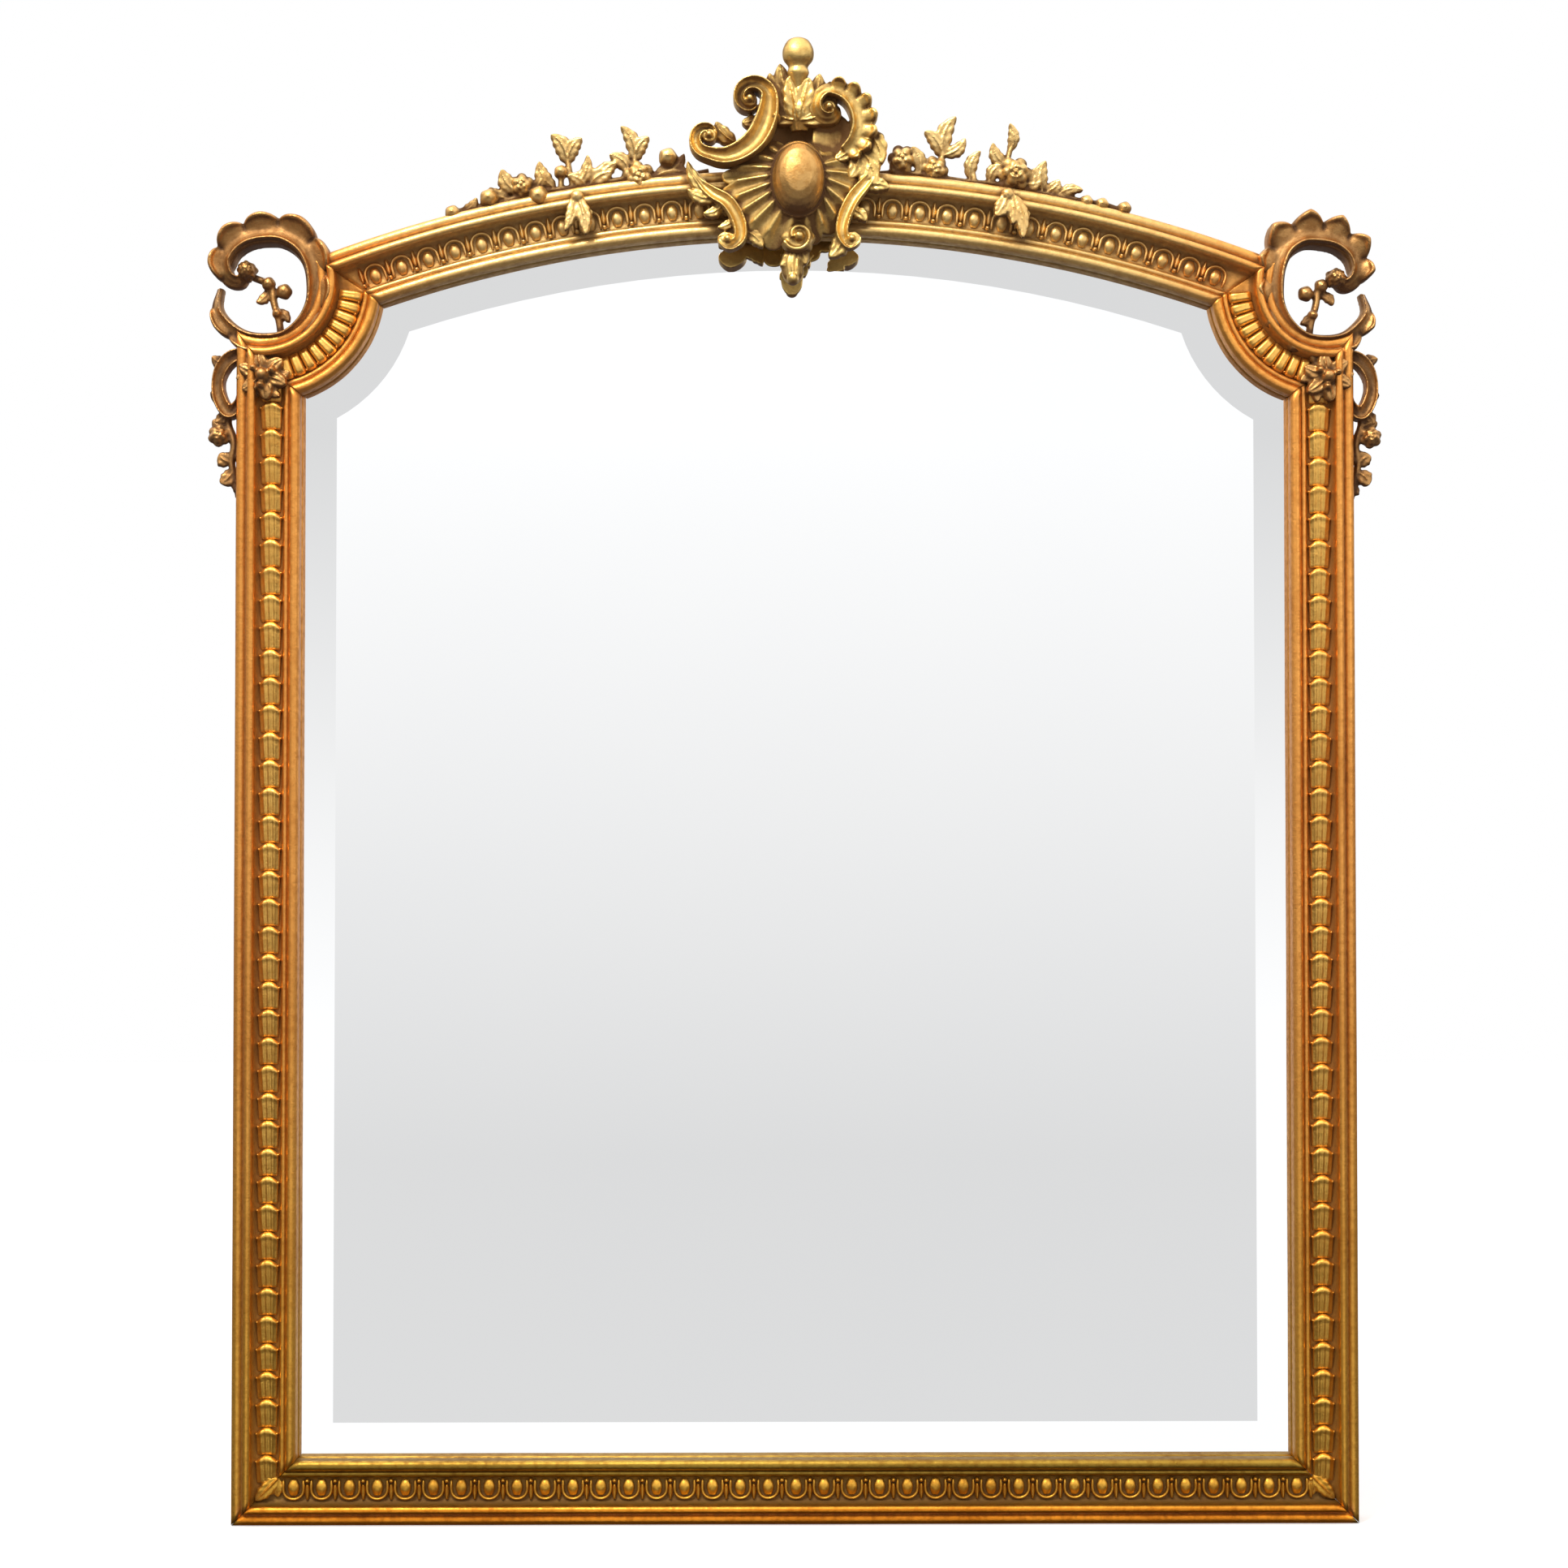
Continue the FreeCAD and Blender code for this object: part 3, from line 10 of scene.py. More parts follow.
import bpy
import numpy as np
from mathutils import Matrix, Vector


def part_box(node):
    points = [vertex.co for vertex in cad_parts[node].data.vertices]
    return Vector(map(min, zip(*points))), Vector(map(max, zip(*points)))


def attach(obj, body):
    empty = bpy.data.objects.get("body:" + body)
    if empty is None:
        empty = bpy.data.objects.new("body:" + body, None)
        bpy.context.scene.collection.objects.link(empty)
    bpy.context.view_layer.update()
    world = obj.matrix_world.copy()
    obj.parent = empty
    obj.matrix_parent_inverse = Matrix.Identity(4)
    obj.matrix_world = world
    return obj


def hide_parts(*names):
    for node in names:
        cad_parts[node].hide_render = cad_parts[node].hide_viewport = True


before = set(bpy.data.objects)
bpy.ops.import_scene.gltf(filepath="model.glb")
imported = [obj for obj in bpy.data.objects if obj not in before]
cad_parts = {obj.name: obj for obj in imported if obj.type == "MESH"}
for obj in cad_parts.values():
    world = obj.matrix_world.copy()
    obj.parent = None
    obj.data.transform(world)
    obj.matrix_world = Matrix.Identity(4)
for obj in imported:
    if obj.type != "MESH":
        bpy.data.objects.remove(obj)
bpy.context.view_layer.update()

# %% [markdown]
# ## Driving sizes
# Everything below is worked out from a few sizes of the frame. The outer width and the apex are read
# from the solids, so the dressed model keeps the measured size.

# %% Sizes of the frame, in metres
MOULDING = 0.077
HALF_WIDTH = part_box("right_stile")[1].x
SIGHT_HALF = HALF_WIDTH - MOULDING
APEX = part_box("top_rail")[1].z - MOULDING
ARCH_RADIUS = 1.453
ARCH_CENTRE = APEX - ARCH_RADIUS
SHOULDER_RADIUS = 0.139
SHOULDER_ACROSS = HALF_WIDTH - 0.029
SHOULDER_HEIGHT = APEX - 0.054
FLOOR_IN, FLOOR_OUT, FLOOR_DEPTH = 0.025, 0.050, 0.038
FLOOR_MIDDLE = (FLOOR_IN + FLOOR_OUT) / 2
UNIT_PITCH = 0.0315
CREST_BACK, CORNER_BACK, GARLAND_BACK = 0.060, 0.024, 0.033
CREST_DATUM = APEX - 0.009
CORNER_ACROSS, CORNER_HEIGHT = 0.611, 1.414
HANDS = ((-1, "left"), (1, "right"))
print("sight opening", round(2 * SIGHT_HALF, 3), "m wide, apex at", round(APEX, 3), "m")

# %% [markdown]
# ## The gilder's materials
# Old gilding is thin metal on red clay over gesso. The high places are rubbed bright or down to the
# clay, and the hollows keep a dark wash; the same dark colour is also painted shade in recesses, in the
# gaps between forms and on undersides. Each carved mesh will carry a hollow-and-shade attribute: above
# 0 in a recess or a shaded underside and below 0 on a ridge. A second one, `tone`, says how far a place
# goes from its material's first leaf colour to its second. One node group turns both into colour,
# roughness and relief, and every gilt material places that group with its own values.

# %% Helpers for node trees
def node(tree, kind, **settings):
    """A node with its properties and unlinked inputs set."""
    made = tree.nodes.new(kind)
    for key, wanted in settings.items():
        if hasattr(made, key):
            setattr(made, key, wanted)
        else:
            made.inputs[key.replace("_", " ")].default_value = wanted
    return made


def math_node(tree, operation, first, second=0.0, clamp=False):
    made = tree.nodes.new("ShaderNodeMath")
    made.operation = operation
    made.use_clamp = clamp
    for socket, wanted in zip(made.inputs, (first, second)):
        if isinstance(wanted, (int, float)):
            socket.default_value = wanted
        else:
            tree.links.new(wanted, socket)
    return made.outputs[0]


def arithmetic(tree):
    """Sum, difference, product and the larger of two, as math nodes of one tree."""
    def step(operation):
        return lambda first, second, clamp=False: math_node(tree, operation, first, second, clamp)
    return [step(operation) for operation in ("ADD", "SUBTRACT", "MULTIPLY", "MAXIMUM")]


def mix_colour(tree, share, first, second, blend="MIX"):
    made = tree.nodes.new("ShaderNodeMix")
    made.data_type = "RGBA"
    made.blend_type = blend
    for socket, wanted in ((made.inputs[0], share), (made.inputs[6], first), (made.inputs[7], second)):
        if isinstance(wanted, (int, float)):
            socket.default_value = wanted
        elif isinstance(wanted, tuple):
            socket.default_value = (*wanted, 1)
        else:
            tree.links.new(wanted, socket)
    return made.outputs[2]


def ramp(tree, value, low, high):
    """A straight climb from 0 at low to 1 at high."""
    made = tree.nodes.new("ShaderNodeMapRange")
    tree.links.new(value, made.inputs[0])
    made.inputs[1].default_value, made.inputs[2].default_value = low, high
    return made.outputs[0]


# %% Fields and groups
def noise_field(tree, vector, scale, detail=3.0, roughness=0.55):
    made = tree.nodes.new("ShaderNodeTexNoise")
    made.inputs["Scale"].default_value = scale
    made.inputs["Detail"].default_value = detail
    made.inputs["Roughness"].default_value = roughness
    tree.links.new(vector, made.inputs["Vector"])
    return made.outputs[0]


def group_tree(name, inputs, outputs):
    """An empty shader node group. inputs and outputs are (name, socket type, default) rows."""
    tree = bpy.data.node_groups.new(name, "ShaderNodeTree")
    for direction, rows in (("INPUT", inputs), ("OUTPUT", outputs)):
        for label, kind, default in rows:
            socket = tree.interface.new_socket(label, in_out=direction, socket_type=kind)
            if default is not None:
                socket.default_value = default
    return tree, tree.nodes.new("NodeGroupInput"), tree.nodes.new("NodeGroupOutput")


COLOUR, NUMBER = "NodeSocketColor", "NodeSocketFloat"
print("node helpers ready")


# %% The gilding group
def build_gilding():
    tree, given, result = group_tree(
        "Gilding",
        [("Leaf", COLOUR, (0.85, 0.58, 0.2, 1)), ("Far leaf", COLOUR, (0.85, 0.58, 0.2, 1)),
         ("Clay", COLOUR, (0.42, 0.12, 0.04, 1)), ("Wash and shade", COLOUR, (0.05, 0.025, 0.01, 1)),
         ("Wash and shade amount", NUMBER, 1.0), ("Rubbing", NUMBER, 0.3), ("Patchiness", NUMBER, 0.5)],
        [("Colour", COLOUR, None), ("Roughness", NUMBER, None), ("Metallic", NUMBER, None),
         ("Height", NUMBER, None)])
    place = tree.nodes.new("ShaderNodeTexCoord").outputs["Object"]
    hollow_and_shade = node(tree, "ShaderNodeAttribute", attribute_name="hollow_and_shade").outputs["Fac"]
    tone = node(tree, "ShaderNodeAttribute", attribute_name="tone").outputs["Fac"]
    broad = noise_field(tree, place, 7.0, 4.0)
    fine = noise_field(tree, place, 120.0, 4.0, 0.6)
    speck = noise_field(tree, place, 480.0, 2.0)
    add, take, times, _ = arithmetic(tree)
    leaf = mix_colour(tree, tone, given.outputs["Leaf"], given.outputs["Far leaf"])
    shade = mix_colour(tree, 1.0, leaf, (0.64, 0.52, 0.38), "MULTIPLY")
    patch = times(add(ramp(tree, broad, 0.42, 0.68), ramp(tree, fine, 0.44, 0.64)), 0.6)
    patch = times(patch, given.outputs["Patchiness"], True)
    colour = mix_colour(tree, patch, leaf, shade)
    rubbed = ramp(tree, add(times(hollow_and_shade, -1.0), times(fine, 0.9)), 0.75, 1.25)
    rubbed = times(rubbed, given.outputs["Rubbing"], True)
    colour = mix_colour(tree, rubbed, colour, given.outputs["Clay"])
    # Painted shade and real wash: the wash colour darkens recesses, gaps between forms and undersides,
    # standing in for their shade as well as the gilder's wash.
    wash_and_shade_share = ramp(tree, add(hollow_and_shade, times(take(fine, 0.5), 0.5)), 0.02, 0.85)
    wash_and_shade_share = times(wash_and_shade_share, given.outputs["Wash and shade amount"], True)
    colour = mix_colour(tree, wash_and_shade_share, colour, given.outputs["Wash and shade"])
    roughness = add(add(0.33, times(wash_and_shade_share, 0.30)), times(patch, 0.12))
    roughness = add(roughness, times(fine, 0.10), True)
    metallic = take(1.0, times(wash_and_shade_share, 0.5), True)
    height = add(times(fine, 0.7), times(speck, 0.3))
    for label, found in (("Colour", colour), ("Roughness", roughness), ("Metallic", metallic),
                         ("Height", height)):
        tree.links.new(found, result.inputs[label])
    return tree


gilding_group = build_gilding()
print("group", gilding_group.name, "with", len(gilding_group.nodes), "nodes")


# %% Materials of gold
def blank_material(name):
    material = bpy.data.materials.new(name)
    material.use_nodes = True
    tree = material.node_tree
    return material, tree, tree.nodes["Principled BSDF"]


def place_group(tree, group, values):
    made = tree.nodes.new("ShaderNodeGroup")
    made.node_tree = group
    for label, wanted in values.items():
        made.inputs[label].default_value = (*wanted, 1) if isinstance(wanted, tuple) else wanted
    return made


def bump(tree, shader, height, distance):
    made = node(tree, "ShaderNodeBump", Strength=1.0, Distance=distance)
    tree.links.new(height, made.inputs["Height"])
    tree.links.new(made.outputs["Normal"], shader.inputs["Normal"])


PALE, ORANGE, OLIVE, BROWN = (0.93, 0.65, 0.26), (0.84, 0.37, 0.085), (0.76, 0.39, 0.06), (0.66, 0.38, 0.13)
RED_CLAY, BROWN_WASH_AND_SHADE = (0.62, 0.22, 0.045), (0.16, 0.07, 0.017)
LEAF_GRAIN = 0.0005


def gilt(name, leaf, far_leaf, wash_and_shade_colour, amount, rubbing, patchiness):
    material, tree, shader = blank_material(name)
    gilding = place_group(tree, gilding_group, {
        "Leaf": leaf, "Far leaf": far_leaf, "Clay": RED_CLAY, "Wash and shade": wash_and_shade_colour, "Wash and shade amount": amount,
        "Rubbing": rubbing, "Patchiness": patchiness})
    for label, wanted in (("Colour", "Base Color"), ("Roughness", "Roughness"), ("Metallic", "Metallic")):
        tree.links.new(gilding.outputs[label], shader.inputs[wanted])
    bump(tree, shader, gilding.outputs["Height"], LEAF_GRAIN)
    return material


# name, leaf, far leaf, wash colour that also paints shade, its amount, rubbing, patchiness
GILT_LOOKS = {
    "stile": ("stile_gilding", OLIVE, ORANGE, BROWN_WASH_AND_SHADE, 0.7, 0.75, 0.6),
    "arch": ("arch_gilding", PALE, ORANGE, BROWN_WASH_AND_SHADE, 0.8, 0.2, 0.5),
    # The foot's dark olive first leaf is partly its own olive gilding and partly painted shade on the
    # lowest rail.
    "foot": ("foot_gilding", (0.36, 0.22, 0.035), (1.0, 0.36, 0.03), BROWN_WASH_AND_SHADE, 0.8, 0.5, 0.8),
    "stile_run": ("stile_ornament", (0.90, 0.51, 0.09), (1.0, 0.58, 0.14), (0.38, 0.17, 0.035),
                  0.4, 0.3, 0.5),
    "arch_run": ("arch_ornament", PALE, ORANGE, BROWN_WASH_AND_SHADE, 0.5, 0.1, 0.5),
    "foot_run": ("foot_ornament", (0.74, 0.41, 0.06), ORANGE, (0.20, 0.10, 0.015), 0.7, 0.3, 0.9),
    "garland": ("garland_gilding", (0.86, 0.60, 0.25), BROWN, (0.11, 0.048, 0.014), 1.0, 0.15, 0.8),
    "carving": ("crest_gilding", (0.88, 0.61, 0.21), BROWN, (0.13, 0.060, 0.015), 1.0, 0.12, 0.5),
    # The corner gilding's darker leaves are partly painted shade on the carving that uses it.
    "corner": ("corner_gilding", (0.72, 0.43, 0.15), (0.60, 0.33, 0.12), (0.10, 0.042, 0.013),
               1.0, 0.25, 0.7),
}
MATERIALS = {label: gilt(*look) for label, look in GILT_LOOKS.items()}
print("gold materials", sorted(MATERIALS))

# %% [markdown]
# ## Wood, iron, brass and the mirror plate
# The back is plain joinery: pine planks and battens, a gessoed rebate, iron strap plates, brass rings
# and steel screws. Wood grain is a noise stretched along the board. The mirror plate is a clean metal
# with no roughness, because silvered glass shows only what it faces.


# %% Wood, metal and glass materials
def wood(name, pale, dark, along):
    """along is the axis of the grain: 0, 1 or 2. The noise is sixteen times longer that way."""
    material, tree, shader = blank_material(name)
    stretch = [14.0, 14.0, 14.0]
    stretch[along] /= 16
    mapping = node(tree, "ShaderNodeMapping", Scale=tuple(stretch))
    tree.links.new(tree.nodes.new("ShaderNodeTexCoord").outputs["Object"], mapping.inputs["Vector"])
    grain = noise_field(tree, mapping.outputs[0], 3.0, 8.0, 0.65)
    fibre = noise_field(tree, mapping.outputs[0], 40.0, 2.0)
    streak = ramp(tree, grain, 0.35, 0.7)
    colour = mix_colour(tree, streak, pale, dark)
    colour = mix_colour(tree, math_node(tree, "MULTIPLY", fibre, 0.35), colour, dark)
    tree.links.new(colour, shader.inputs["Base Color"])
    add, _, times, _ = arithmetic(tree)
    tree.links.new(add(0.55, times(streak, 0.25)), shader.inputs["Roughness"])
    bump(tree, shader, fibre, 0.0004)
    return material


def metal(name, bright, tarnish, roughness):
    material, tree, shader = blank_material(name)
    place = tree.nodes.new("ShaderNodeTexCoord").outputs["Object"]
    cloud = ramp(tree, noise_field(tree, place, 160.0, 4.0), 0.4, 0.65)
    tree.links.new(mix_colour(tree, cloud, bright, tarnish), shader.inputs["Base Color"])
    add, _, times, _ = arithmetic(tree)
    tree.links.new(add(roughness, times(cloud, 0.3)), shader.inputs["Roughness"])
    shader.inputs["Metallic"].default_value = 1.0
    bump(tree, shader, noise_field(tree, place, 600.0), 0.0001)
    return material


def mirror_plate():
    material, tree, shader = blank_material("silvered_glass")
    place = tree.nodes.new("ShaderNodeTexCoord").outputs["Object"]
    haze = ramp(tree, noise_field(tree, place, 2.0), 0.4, 0.7)
    tree.links.new(mix_colour(tree, haze, (0.975, 0.98, 0.985), (0.965, 0.972, 0.98)),
                   shader.inputs["Base Color"])
    shader.inputs["Metallic"].default_value = 1.0
    shader.inputs["Roughness"].default_value = 0.0
    return material


MATERIALS.update({
    "pine_up": wood("pine_upright_grain", (0.46, 0.30, 0.16), (0.28, 0.16, 0.075), 2),
    "pine_across": wood("pine_cross_grain", (0.44, 0.28, 0.15), (0.25, 0.14, 0.065), 0),
    "hardwood": wood("beech_block", (0.50, 0.31, 0.17), (0.33, 0.19, 0.09), 2),
    "iron": metal("blackened_iron", (0.22, 0.20, 0.18), (0.12, 0.06, 0.035), 0.42),
    "brass": metal("old_brass", (0.72, 0.50, 0.20), (0.34, 0.20, 0.07), 0.28),
    "steel": metal("screw_steel", (0.48, 0.47, 0.45), (0.20, 0.13, 0.09), 0.35),
    "plate": mirror_plate(),
})
print("all materials", len(MATERIALS))

# %% [markdown]
# ## From points to pieces
# A carved piece is built from grids of points, each one closed, so that the piece is solid wood from
# every side. `mesh_object` makes an object of them. `settle` lets it ride on the frame's body and says
# which solid it stands for.


# %% Meshes from grids
def grid_faces(rows, columns, start, around):
    """Quads over a grid of rows by columns, whose rows close on themselves when around is set."""
    faces = []
    for i in range(rows - 1):
        for j in range(columns if around else columns - 1):
            k = (j + 1) % columns
            a, b = start + i * columns, start + (i + 1) * columns
            faces.append((a + j, a + k, b + k, b + j))
    return faces


def rim_of(rows, columns):
    """The point numbers round the edge of a grid, in order."""
    rim = list(range(columns)) + [i * columns + columns - 1 for i in range(1, rows)]
    rim += [(rows - 1) * columns + j for j in range(columns - 2, -1, -1)]
    return rim + [i * columns for i in range(rows - 2, 0, -1)]


def tube(rings):
    """A closed skin over rings of equal length, with an n-gon at each end."""
    rings = np.asarray(rings)
    rows, columns = rings.shape[:2]
    faces = grid_faces(rows, columns, 0, True)
    faces.append(tuple(range(columns - 1, -1, -1)))
    faces.append(tuple((rows - 1) * columns + j for j in range(columns)))
    return rings.reshape(-1, 3), faces


def joined(shells):
    """Several (points, faces) shells as one."""
    points, faces, start = [], [], 0
    for shell_points, shell_faces in shells:
        points.append(np.asarray(shell_points, float))
        faces += [tuple(v + start for v in face) for face in shell_faces]
        start += len(shell_points)
    return np.concatenate(points), faces


def shade_smooth(mesh):
    mesh.polygons.foreach_set("use_smooth", [True] * len(mesh.polygons))


def mesh_object(name, shell, material):
    points, faces = shell
    mesh = bpy.data.meshes.new(name)
    mesh.from_pydata([tuple(p) for p in points], [], faces)
    mesh.materials.append(MATERIALS[material])
    shade_smooth(mesh)
    made = bpy.data.objects.new(name, mesh)
    bpy.context.scene.collection.objects.link(made)
    turn_outwards(made)
    return made


def turn_outwards(thing):
    bpy.context.view_layer.objects.active = thing
    thing.select_set(True)
    bpy.ops.object.mode_set(mode="EDIT")
    bpy.ops.mesh.select_all(action="SELECT")
    bpy.ops.mesh.normals_make_consistent(inside=False)
    bpy.ops.object.mode_set(mode="OBJECT")
    thing.select_set(False)


def freeze(thing):
    """Turns what the modifiers make into the thing's own mesh."""
    graph = bpy.context.evaluated_depsgraph_get()
    mesh = bpy.data.meshes.new_from_object(thing.evaluated_get(graph))
    thing.modifiers.clear()
    thing.data = mesh
    return mesh


def settle(thing, slot, *stands_for):
    """The finished piece rides on the mirror's body and stands for its solids. The slot is not used."""
    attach(thing, "mirror")
    if stands_for:
        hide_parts(*stands_for)
    print(f"{thing.name}: {len(thing.data.polygons)} faces")


# %% [markdown]
# ## The moulding
# One profile runs round the whole opening: a round moulding at the sight edge, a small bead, a floor
# for the ornament, a ridge, an outer moulding and a flat flank, with the rebate behind. A joiner would
# run it in lengths and mitre them. Here each member is a sweep whose every profile line ends exactly on
# the mitre, straight or curved, so the lines meet at the corners as they do on the real frame.


# %% The profile
def arc(offset, depth, radius, start, end, steps):
    """Points of a round, as (offset from the sight edge, depth)."""
    turns = np.radians(np.linspace(start, end, steps + 1))
    return [(offset + radius * math.cos(a), depth + radius * math.sin(a)) for a in turns]


def moulding_profile():
    front = [(0.0045, 0.028), (0.0045, 0.035)]
    front += arc(0.0107, 0.0425, 0.0062, 180, 10, 14)
    front += arc(0.020, 0.0405, 0.0032, 190, 5, 8)
    front += [(0.0245, 0.0385), (0.028, 0.0372), (0.034, 0.0366), (0.041, 0.0366), (0.047, 0.0374)]
    front += [(0.0505, 0.0392), (0.0528, 0.0430), (0.0540, 0.0480)]
    front += arc(0.0585, 0.0546, 0.0045, 180, 0, 10)
    front += [(0.0632, 0.0500)]
    front += arc(0.0702, 0.0450, 0.0066, 145, 0, 12)
    front += [(0.0768, 0.030), (0.0768, 0.004), (0.0764, 0.0006)]
    back = [(0.074, 0), (0.022, 0), (0.022, 0.0255), (0.008, 0.0255), (0.008, 0.028)]
    return front + back


PROFILE = moulding_profile()
print("profile points", len(PROFILE))


# %% Mitres
def circles_meet(first, first_radius, second, second_radius, side):
    gap = second - first
    distance = gap.length
    along = (first_radius ** 2 - second_radius ** 2 + distance ** 2) / (2 * distance)
    away = math.sqrt(max(first_radius ** 2 - along ** 2, 0))
    gap.normalize()
    return first + gap * along + Vector((-gap.y, gap.x)) * (away * side)


def stile_mitre(offset):
    """(across, up) where a profile line leaves the left stile for the shoulder."""
    across = SIGHT_HALF + offset
    reach = SHOULDER_RADIUS - offset
    return -across, SHOULDER_HEIGHT - math.sqrt(reach ** 2 - (SHOULDER_ACROSS - across) ** 2)


def rail_mitre(offset):
    """(across, up) where it leaves the left shoulder for the top rail."""
    meet = circles_meet(Vector((0, ARCH_CENTRE)), ARCH_RADIUS + offset,
                        Vector((-SHOULDER_ACROSS, SHOULDER_HEIGHT)), SHOULDER_RADIUS - offset, -1)
    return meet.x, meet.y


print("mitres", [round(x, 3) for x in (*stile_mitre(0), *rail_mitre(0))])


# %% Members
JOINT = 0.0003  # the share left open at each mitre
CARVED_FROM, WAVE = 0.03, 0.00022  # the hand-cut waver of everything in front of this depth


def swept_member(name, place, steps, material, seed):
    """A member whose profile line at an offset runs along place(offset, share)."""
    rings = []
    for i in range(steps + 1):
        share = JOINT + (1 - 2 * JOINT) * i / steps
        ring = []
        for offset, depth in PROFILE:
            wave = math.sin(17 * share + seed) + 0.6 * math.sin(41 * share + 2.3 * seed)
            carved_depth = depth + (WAVE * wave if depth > CARVED_FROM else 0)
            across, up = place(offset, share)
            ring.append((across, -carved_depth, up))
        rings.append(ring)
    return mesh_object(name, tube(rings), material)


def between(first, second, share):
    return first + (second - first) * share


def stile_place(side):
    return lambda t, s: (side * (SIGHT_HALF + t), between(MOULDING - t, stile_mitre(t)[1], s))


def bottom_place(t, s):
    return between(-SIGHT_HALF - t, SIGHT_HALF + t, s), MOULDING - t


def top_place(t, s):
    across, up = rail_mitre(t)
    limit = math.atan2(across, up - ARCH_CENTRE)
    turn = between(limit, -limit, s)
    return (ARCH_RADIUS + t) * math.sin(turn), ARCH_CENTRE + (ARCH_RADIUS + t) * math.cos(turn)


def shoulder_place(side):
    def place(t, s):
        turns = [math.atan2(up - SHOULDER_HEIGHT, across + SHOULDER_ACROSS)
                 for across, up in (stile_mitre(t), rail_mitre(t))]
        turn = between(*turns, s)
        reach = SHOULDER_RADIUS - t
        across = -SHOULDER_ACROSS + reach * math.cos(turn)
        return -side * across, SHOULDER_HEIGHT + reach * math.sin(turn)
    return place


members = {}
for label, place, steps, material, seed in (
        ("left_stile", stile_place(-1), 150, "stile", 0),
        ("left_shoulder", shoulder_place(-1), 60, "stile", 2),
        ("right_stile", stile_place(1), 150, "stile", 2),
        ("right_shoulder", shoulder_place(1), 60, "stile", 4),
        ("bottom_rail", bottom_place, 150, "foot", 5),
        ("top_rail", top_place, 150, "arch", 6)):
    members[label] = swept_member(f"{label}_moulding", place, steps, material, seed)
print("members", sorted(members))

# %% [markdown]
# ## Recesses for the hangers
# Each stile has a shallow recess in its back, where a strap plate and its ring lie flush, so that the
# frame can hang flat. A Boolean cut is the natural tool, because the recess is a plain box.


# %% Cut the recesses
def box_shell(low, high):
    corners = [(x, y, z) for x in (low[0], high[0]) for y in (low[1], high[1])
               for z in (low[2], high[2])]
    faces = [(0, 1, 3, 2), (4, 6, 7, 5), (0, 4, 5, 1), (2, 3, 7, 6), (0, 2, 6, 4), (1, 5, 7, 3)]
    return np.array(corners), faces


RECESS_DEPTH, SIDE_ROOM, FOOT_ROOM, HEAD_ROOM = 0.008, 0.0016, 0.003, 0.001
for hand in ("left", "right"):
    ring_low, ring_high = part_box(f"{hand}_hanger_ring")
    plate_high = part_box(f"{hand}_hanger_plate")[1]
    low = (ring_low.x - SIDE_ROOM, -RECESS_DEPTH, ring_low.z - FOOT_ROOM)
    high = (ring_high.x + SIDE_ROOM, 0.01, plate_high.z + HEAD_ROOM)
    punch = mesh_object("punch", box_shell(low, high), "stile")
    stile = members[f"{hand}_stile"]
    cut = stile.modifiers.new("recess", "BOOLEAN")
    cut.object = punch
    cut.solver = "EXACT"
    freeze(stile)
    bpy.data.objects.remove(punch)
    print(hand, "recess", [round(h - l, 4) for l, h in zip(low, high)])

# %% [markdown]
# ## Runs of ornament
# The moulding's floor carries repeated ornament: overlapping shell cups on the stiles, egg cups with
# beads and darts on the rails, and gadroons on the hollow shoulders. Composition ornament like this is
# pressed from one mould and laid end to end, so Geometry Nodes copy one unit onto a row of points. Each
# point says how far it is turned and how large it is, and a seed makes the small differences of
# hand-laid work.


# %% A tree that lays units along a guide
def build_run_tree():
    tree = bpy.data.node_groups.new("Ornament run", "GeometryNodeTree")
    rows = [("Geometry", "NodeSocketGeometry"), ("Unit", "NodeSocketObject"),
            ("Seed", "NodeSocketInt"), ("Variation", "NodeSocketFloat"),
            ("Smoothing", "NodeSocketInt"), ("Material", "NodeSocketMaterial")]
    for label, kind in rows:
        tree.interface.new_socket(label, in_out="INPUT", socket_type=kind)
    tree.interface.new_socket("Geometry", in_out="OUTPUT", socket_type="NodeSocketGeometry")
    given, result = tree.nodes.new("NodeGroupInput"), tree.nodes.new("NodeGroupOutput")
    unit = tree.nodes.new("GeometryNodeObjectInfo")
    turn = node(tree, "GeometryNodeInputNamedAttribute", data_type="FLOAT_VECTOR", Name="turn")
    grow = node(tree, "GeometryNodeInputNamedAttribute", data_type="FLOAT_VECTOR", Name="grow")
    low = math_node(tree, "SUBTRACT", 1.0, given.outputs["Variation"])
    chance = node(tree, "FunctionNodeRandomValue", data_type="FLOAT")
    chance.inputs[3].default_value = 1.0
    scaled = node(tree, "ShaderNodeVectorMath", operation="SCALE")
    laid = tree.nodes.new("GeometryNodeInstanceOnPoints")
    real = tree.nodes.new("GeometryNodeRealizeInstances")
    smooth = tree.nodes.new("GeometryNodeSubdivisionSurface")
    paint = tree.nodes.new("GeometryNodeSetMaterial")
    link = tree.links.new
    link(given.outputs["Unit"], unit.inputs["Object"])
    link(given.outputs["Geometry"], laid.inputs["Points"])
    link(unit.outputs["Geometry"], laid.inputs["Instance"])
    link(turn.outputs["Attribute"], laid.inputs["Rotation"])
    link(low, chance.inputs[2])
    link(given.outputs["Seed"], chance.inputs["Seed"])
    link(grow.outputs["Attribute"], scaled.inputs[0])
    link(chance.outputs[1], scaled.inputs["Scale"])
    link(scaled.outputs[0], laid.inputs["Scale"])
    link(laid.outputs[0], smooth.inputs["Mesh"])
    link(given.outputs["Smoothing"], smooth.inputs["Level"])
    link(smooth.outputs[0], real.inputs["Geometry"])
    link(real.outputs[0], paint.inputs["Geometry"])
    link(given.outputs["Material"], paint.inputs["Material"])
    link(paint.outputs[0], result.inputs["Geometry"])
    return tree


run_tree = build_run_tree()
VARIATION, SMOOTHING = 0.03, 1  # the share by which units differ in size, and their subdivisions


